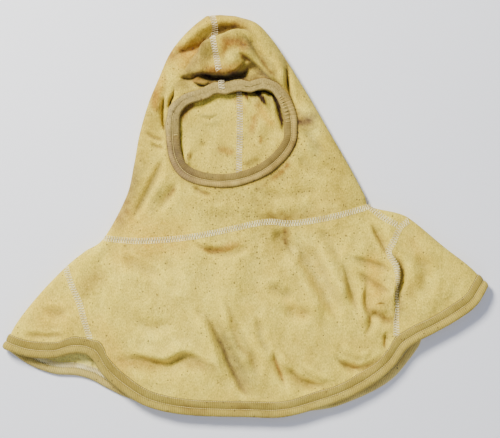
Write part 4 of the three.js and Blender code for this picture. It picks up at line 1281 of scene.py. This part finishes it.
def face_binding():
    rings, brow, pucker = face_rings()
    loops, colours = [], []
    for reach, rise in strip_profile(FACE_BAND, FACE_ROW, FACE_TURN, *FACE_SWELLS):
        share = reach / FACE_BAND
        base, normal = rings.at(share)
        lift = np.full(len(base), float(rise))
        if rise > 0:
            level = mix(STRIP_OUTSIDE + 0.3, STRIP_INSIDE + 0.5, smooth(share)) if reach > 1 else rise
            lift = mix(lift, level, BROW_FLATTENS * brow) + pucker * bump(abs(share - 0.5) / 0.75)
        loops.append(base + normal * lift[:, None])
        x, y, _ = base.T
        rows = strip_shade(reach, FACE_BAND, FACE_ROW, *FACE_SHADES)
        shade = mix(rows, BROW_SHADE, BROW_FLATTENS * brow) * (1 + waves(x, y, FACE_MOTTLE))
        colours.append(shade[:, None] * stained_and_painted(x, y, FACE_STAINS))
    piece = swept("face_binding", loops, rings.lengths, FACE_KNIT, np.array(colours))
    piece.data.materials.append(BROW_KNIT)
    for face in piece.data.polygons:
        x, y = face.center.x / MM, face.center.y / MM
        face.material_index = int(y > (BROW_STARTS_LEFT if x < FACE_MIDDLE[0] else BROW_STARTS_RIGHT))
    return piece


# Threads

def tubes(paths, ups, radius):
    """Points and faces of round threads along paths, each with its upward directions."""
    along = unit(np.gradient(paths, axis=1))
    side = unit(np.cross(along, ups))
    up = np.cross(side, along)
    sides = THREAD_SIDES
    turn = np.arange(sides) * 2 * math.pi / sides
    ring = np.cos(turn)[:, None] * up[:, :, None] + np.sin(turn)[:, None] * side[:, :, None]
    points = paths[:, :, None] + radius * ring
    count, steps = paths.shape[:2]
    quads = grid_faces(steps, sides)[0]
    first = np.arange(count)[:, None, None] * steps * sides
    ends = np.array([np.arange(sides)[::-1], np.arange(sides) + (steps - 1) * sides])
    faces = (quads + first).reshape(-1, 4).tolist() + (ends + first).reshape(-1, sides).tolist()
    return points.reshape(-1, 3), faces


def threads(name, groups, material):
    """One object from groups of (paths, upward directions, radius)."""
    points, faces, first = [], [], 0
    for paths, ups, radius in groups:
        more, more_faces = tubes(paths, ups, radius)
        points.append(more)
        faces += [[corner + first for corner in face] for face in more_faces]
        first += len(more)
    return tied(object_of(name, np.vstack(points), faces, material))


class Ribbon:
    """A narrow strip of cloth's outside along a seam, as rows of points across it."""

    def __init__(self, points, normals):
        self.points = points
        self.normals = normals
        self.lengths = lengths_along(points[len(points) // 2])

    def at(self, along, across, lift):
        """Points and upward directions at a distance along it, and across it from -1 to 1."""
        station = np.interp(along, self.lengths, np.arange(len(self.lengths)))
        row = (np.clip(across, -1, 1) + 1) / 2 * (len(self.points) - 1)
        i = np.minimum(station.astype(int), self.points.shape[1] - 2)
        j = np.minimum(row.astype(int), len(self.points) - 2)
        s, t = (station - i)[..., None], (row - j)[..., None]

        def blend(grid):
            return mix(mix(grid[j, i], grid[j, i + 1], s), mix(grid[j + 1, i], grid[j + 1, i + 1], s), t)

        up = unit(blend(self.normals))
        return blend(self.points) + up * np.asarray(lift)[..., None], up


FLATLOCK_OFFSETS = np.linspace(-FLATLOCK_WIDTH / 2, FLATLOCK_WIDTH / 2, 5)


def seam_ribbon(line, front=True, inside=False, lift=HALF_CLOTH):
    """A ribbon over a line seen from above, on the outside or the inside of a layer."""
    middle = even(curve(line), SEAM_PITCH)
    across = left_of(unit(np.gradient(middle, axis=0)))
    x, y = (middle + across * FLATLOCK_OFFSETS[:, None, None]).transpose(2, 0, 1)
    layer = np.full(x.shape, front)
    normals = cloth_normal(layer, x, y) * (-1 if inside else 1)
    return Ribbon(cloth_point(layer, x, y) + normals * lift, normals)


def flatlock(ribbon, pitch=FLATLOCK_PITCH):
    """A flat seam: slanting rungs of thread, their thinner returns, and a row of stitches at each edge."""
    groups = []
    count = int(ribbon.lengths[-1] / pitch)
    starts = np.arange(count)[:, None] * pitch
    t = np.linspace(0, 1, 7)[None]
    for shift, slant, lift, radius in (RUNG, RETURN):
        along = starts + pitch * (shift + slant * t)
        across = np.broadcast_to(mix(-0.86, 0.86, t), along.shape)
        arch = np.broadcast_to(lift - 0.3 * (2 * t - 1) ** 4, along.shape)
        points, ups = ribbon.at(along, across, arch)
        groups.append((points, ups, radius))
    for row in (-0.92, 0.92):
        groups.append(dashes(ribbon, row, pitch, *EDGE_STITCH))
    return groups


def dashes(ribbon, across, pitch, share, lift, radius):
    """A row of stitches along a ribbon, each over a share of its pitch."""
    count = int(ribbon.lengths[-1] / pitch)
    starts = np.arange(count)[:, None] * pitch
    t = np.linspace(0, 1, 5)[None]
    along = starts + t * pitch * share
    arch = lift + 0.25 * np.sin(math.pi * t) - 0.35 * (np.abs(2 * t - 1) ** 4)
    points, ups = ribbon.at(along, np.full(along.shape, across), np.broadcast_to(arch, along.shape))
    return points, ups, radius


def neck_ribbon():
    columns = Columns(*NECK_COLUMNS)
    plans = [columns.plan(NECK, offset) for offset in FLATLOCK_OFFSETS]
    rows = closed(np.array([cloth_point(columns.front, x, y) for x, y in plans]))
    along = np.gradient(rows, axis=1)
    up = np.gradient(rows, axis=0)
    normals = unit(np.cross(along, up))
    return Ribbon(rows + normals * HALF_CLOTH, normals)


def ring_ribbon(rings, start, end, count, lift, side=1):
    """A ribbon round a binding between two reaches, on its outside or, with side -1, its inside."""
    rows, ups = rings.rows(np.linspace(start, end, count))
    ups = closed(ups) * side
    return Ribbon(closed(rows) + ups * lift, ups)


def stitched_seams():
    seams = {
        "neck_seam_threads": [neck_ribbon()],
        "left_armhole_threads": [seam_ribbon(LEFT_SEAM)],
        "right_armhole_threads": [seam_ribbon(RIGHT_SEAM)],
        "right_shoulder_threads": [seam_ribbon(RIGHT_SHOULDER[1:-1])],
        "forehead_threads": [seam_ribbon(FOREHEAD_SEAM), seam_ribbon(BROW_SEAM, lift=STRIP_OUTSIDE)],
        "left_armhole_back_threads": [seam_ribbon(LEFT_SEAM, front=False)],
        "right_armhole_back_threads": [seam_ribbon(RIGHT_SEAM, front=False)],
        "back_seam_threads_inside": [seam_ribbon(BACK_SEAM, front=False, inside=True)],
        "back_seam_threads_outside": [seam_ribbon(BACK_SEAM, front=False)],
    }
    for name, ribbons in seams.items():
        groups = [group for ribbon in ribbons for group in flatlock(ribbon)]
        soiled_most = name.startswith(("forehead", "back_seam"))
        threads(name, groups, SOILED_THREAD if soiled_most else WHITE_THREAD)


def hem_threads(rings):
    at_row = ring_ribbon(rings, HEM_ROW + 1, HEM_ROW - 1, 3, STRIP_OUTSIDE - 0.9)
    at_band = ring_ribbon(rings, HEM_BAND, HEM_BAND - 2, 3, STRIP_OUTSIDE - 0.5)
    inner = ring_ribbon(rings, HEM_TURN + 5, HEM_TURN - 3, 5, STRIP_OUTSIDE - 0.6, side=-1)
    return [
        threads("hem_threads", [dashes(row, 0, *HEM_STITCH) for row in (at_row, at_band)], TAN_THREAD),
        threads("hem_inner_threads", flatlock(inner, INNER_PITCH), WHITE_THREAD),
    ]


def gather_stitches(rings, pucker):
    """One stitch over the top of each pucker."""
    tops = (pucker > np.roll(pucker, 1)) & (pucker > np.roll(pucker, -1)) & (pucker > GATHER_FROM)
    paths, ups = rings.rows(np.linspace(*GATHER_STITCH, 7))
    paths, ups = paths[:, tops], ups[:, tops]
    ends_dip = 1.2 * np.abs(np.linspace(-1, 1, 7)[:, None]) ** 3
    paths = paths + ups * (STRIP_OUTSIDE + 0.5 + pucker[tops] - ends_dip)[..., None]
    return paths.transpose(1, 0, 2), ups.transpose(1, 0, 2), GATHER_RADIUS


def face_threads():
    rings, brow, pucker = face_rings()
    below_brow = np.flatnonzero(brow < 0.3)
    turn = np.argmax(np.diff(below_brow)) + 1
    kept = np.roll(below_brow, -turn)
    groups = []
    for share in (FACE_ROW / FACE_BAND, 0.95):
        rows, ups = rings.rows(share + np.array([-0.05, 0, 0.05]))
        ribbon = Ribbon((rows + ups * (STRIP_OUTSIDE - 0.6))[:, kept], ups[:, kept])
        groups.append(dashes(ribbon, 0, *FACE_STITCH))
    groups.append(gather_stitches(rings, pucker))
    return [threads("face_threads", groups, TAN_THREAD)]


def build_hood():
    head = head_panel()
    bibs = bib_panels()
    front, rings = hem_rings()
    hem = hem_binding(front, rings)
    face = face_binding()
    stitched_seams()
    hem_stitches = hem_threads(rings)
    face_stitches = face_threads()


def stage():
    """A plain pale floor."""
    corners = np.array([(-1, -1, 0), (1, -1, 0), (1, 1, 0), (-1, 1, 0)]) * FLOOR_HALF
    object_of("floor", corners, [(0, 1, 2, 3)], floor_material())


def lights():
    """Soft light from above, stronger from the crown's left."""
    for name, place, size, power in LIGHTS:
        data = bpy.data.lights.new(name, "AREA")
        data.shape = "DISK"
        data.size = size
        data.energy = power
        data.color = LIGHT_COLOUR
        lamp = placed(name, data)
        lamp.location = place
        lamp.rotation_euler = (-lamp.location).to_track_quat("-Z", "Y").to_euler()
    world = bpy.data.worlds.new("studio")
    world.use_nodes = True
    background = world.node_tree.nodes["Background"]
    background.inputs["Color"].default_value = WORLD_COLOUR
    background.inputs["Strength"].default_value = WORLD_STRENGTH
    bpy.context.scene.world = world


def camera():
    data = bpy.data.cameras.new("camera")
    data.sensor_width = SENSOR
    data.lens = SENSOR * (CAMERA_HEIGHT - CLOTH_TOP) / PHOTO_WIDTH
    view = placed("camera", data)
    view.location = (PHOTO_CENTRE[0] * MM, PHOTO_CENTRE[1] * MM, CAMERA_HEIGHT * MM)
    bpy.context.scene.camera = view


camera()
stage()
lights()
build_hood()
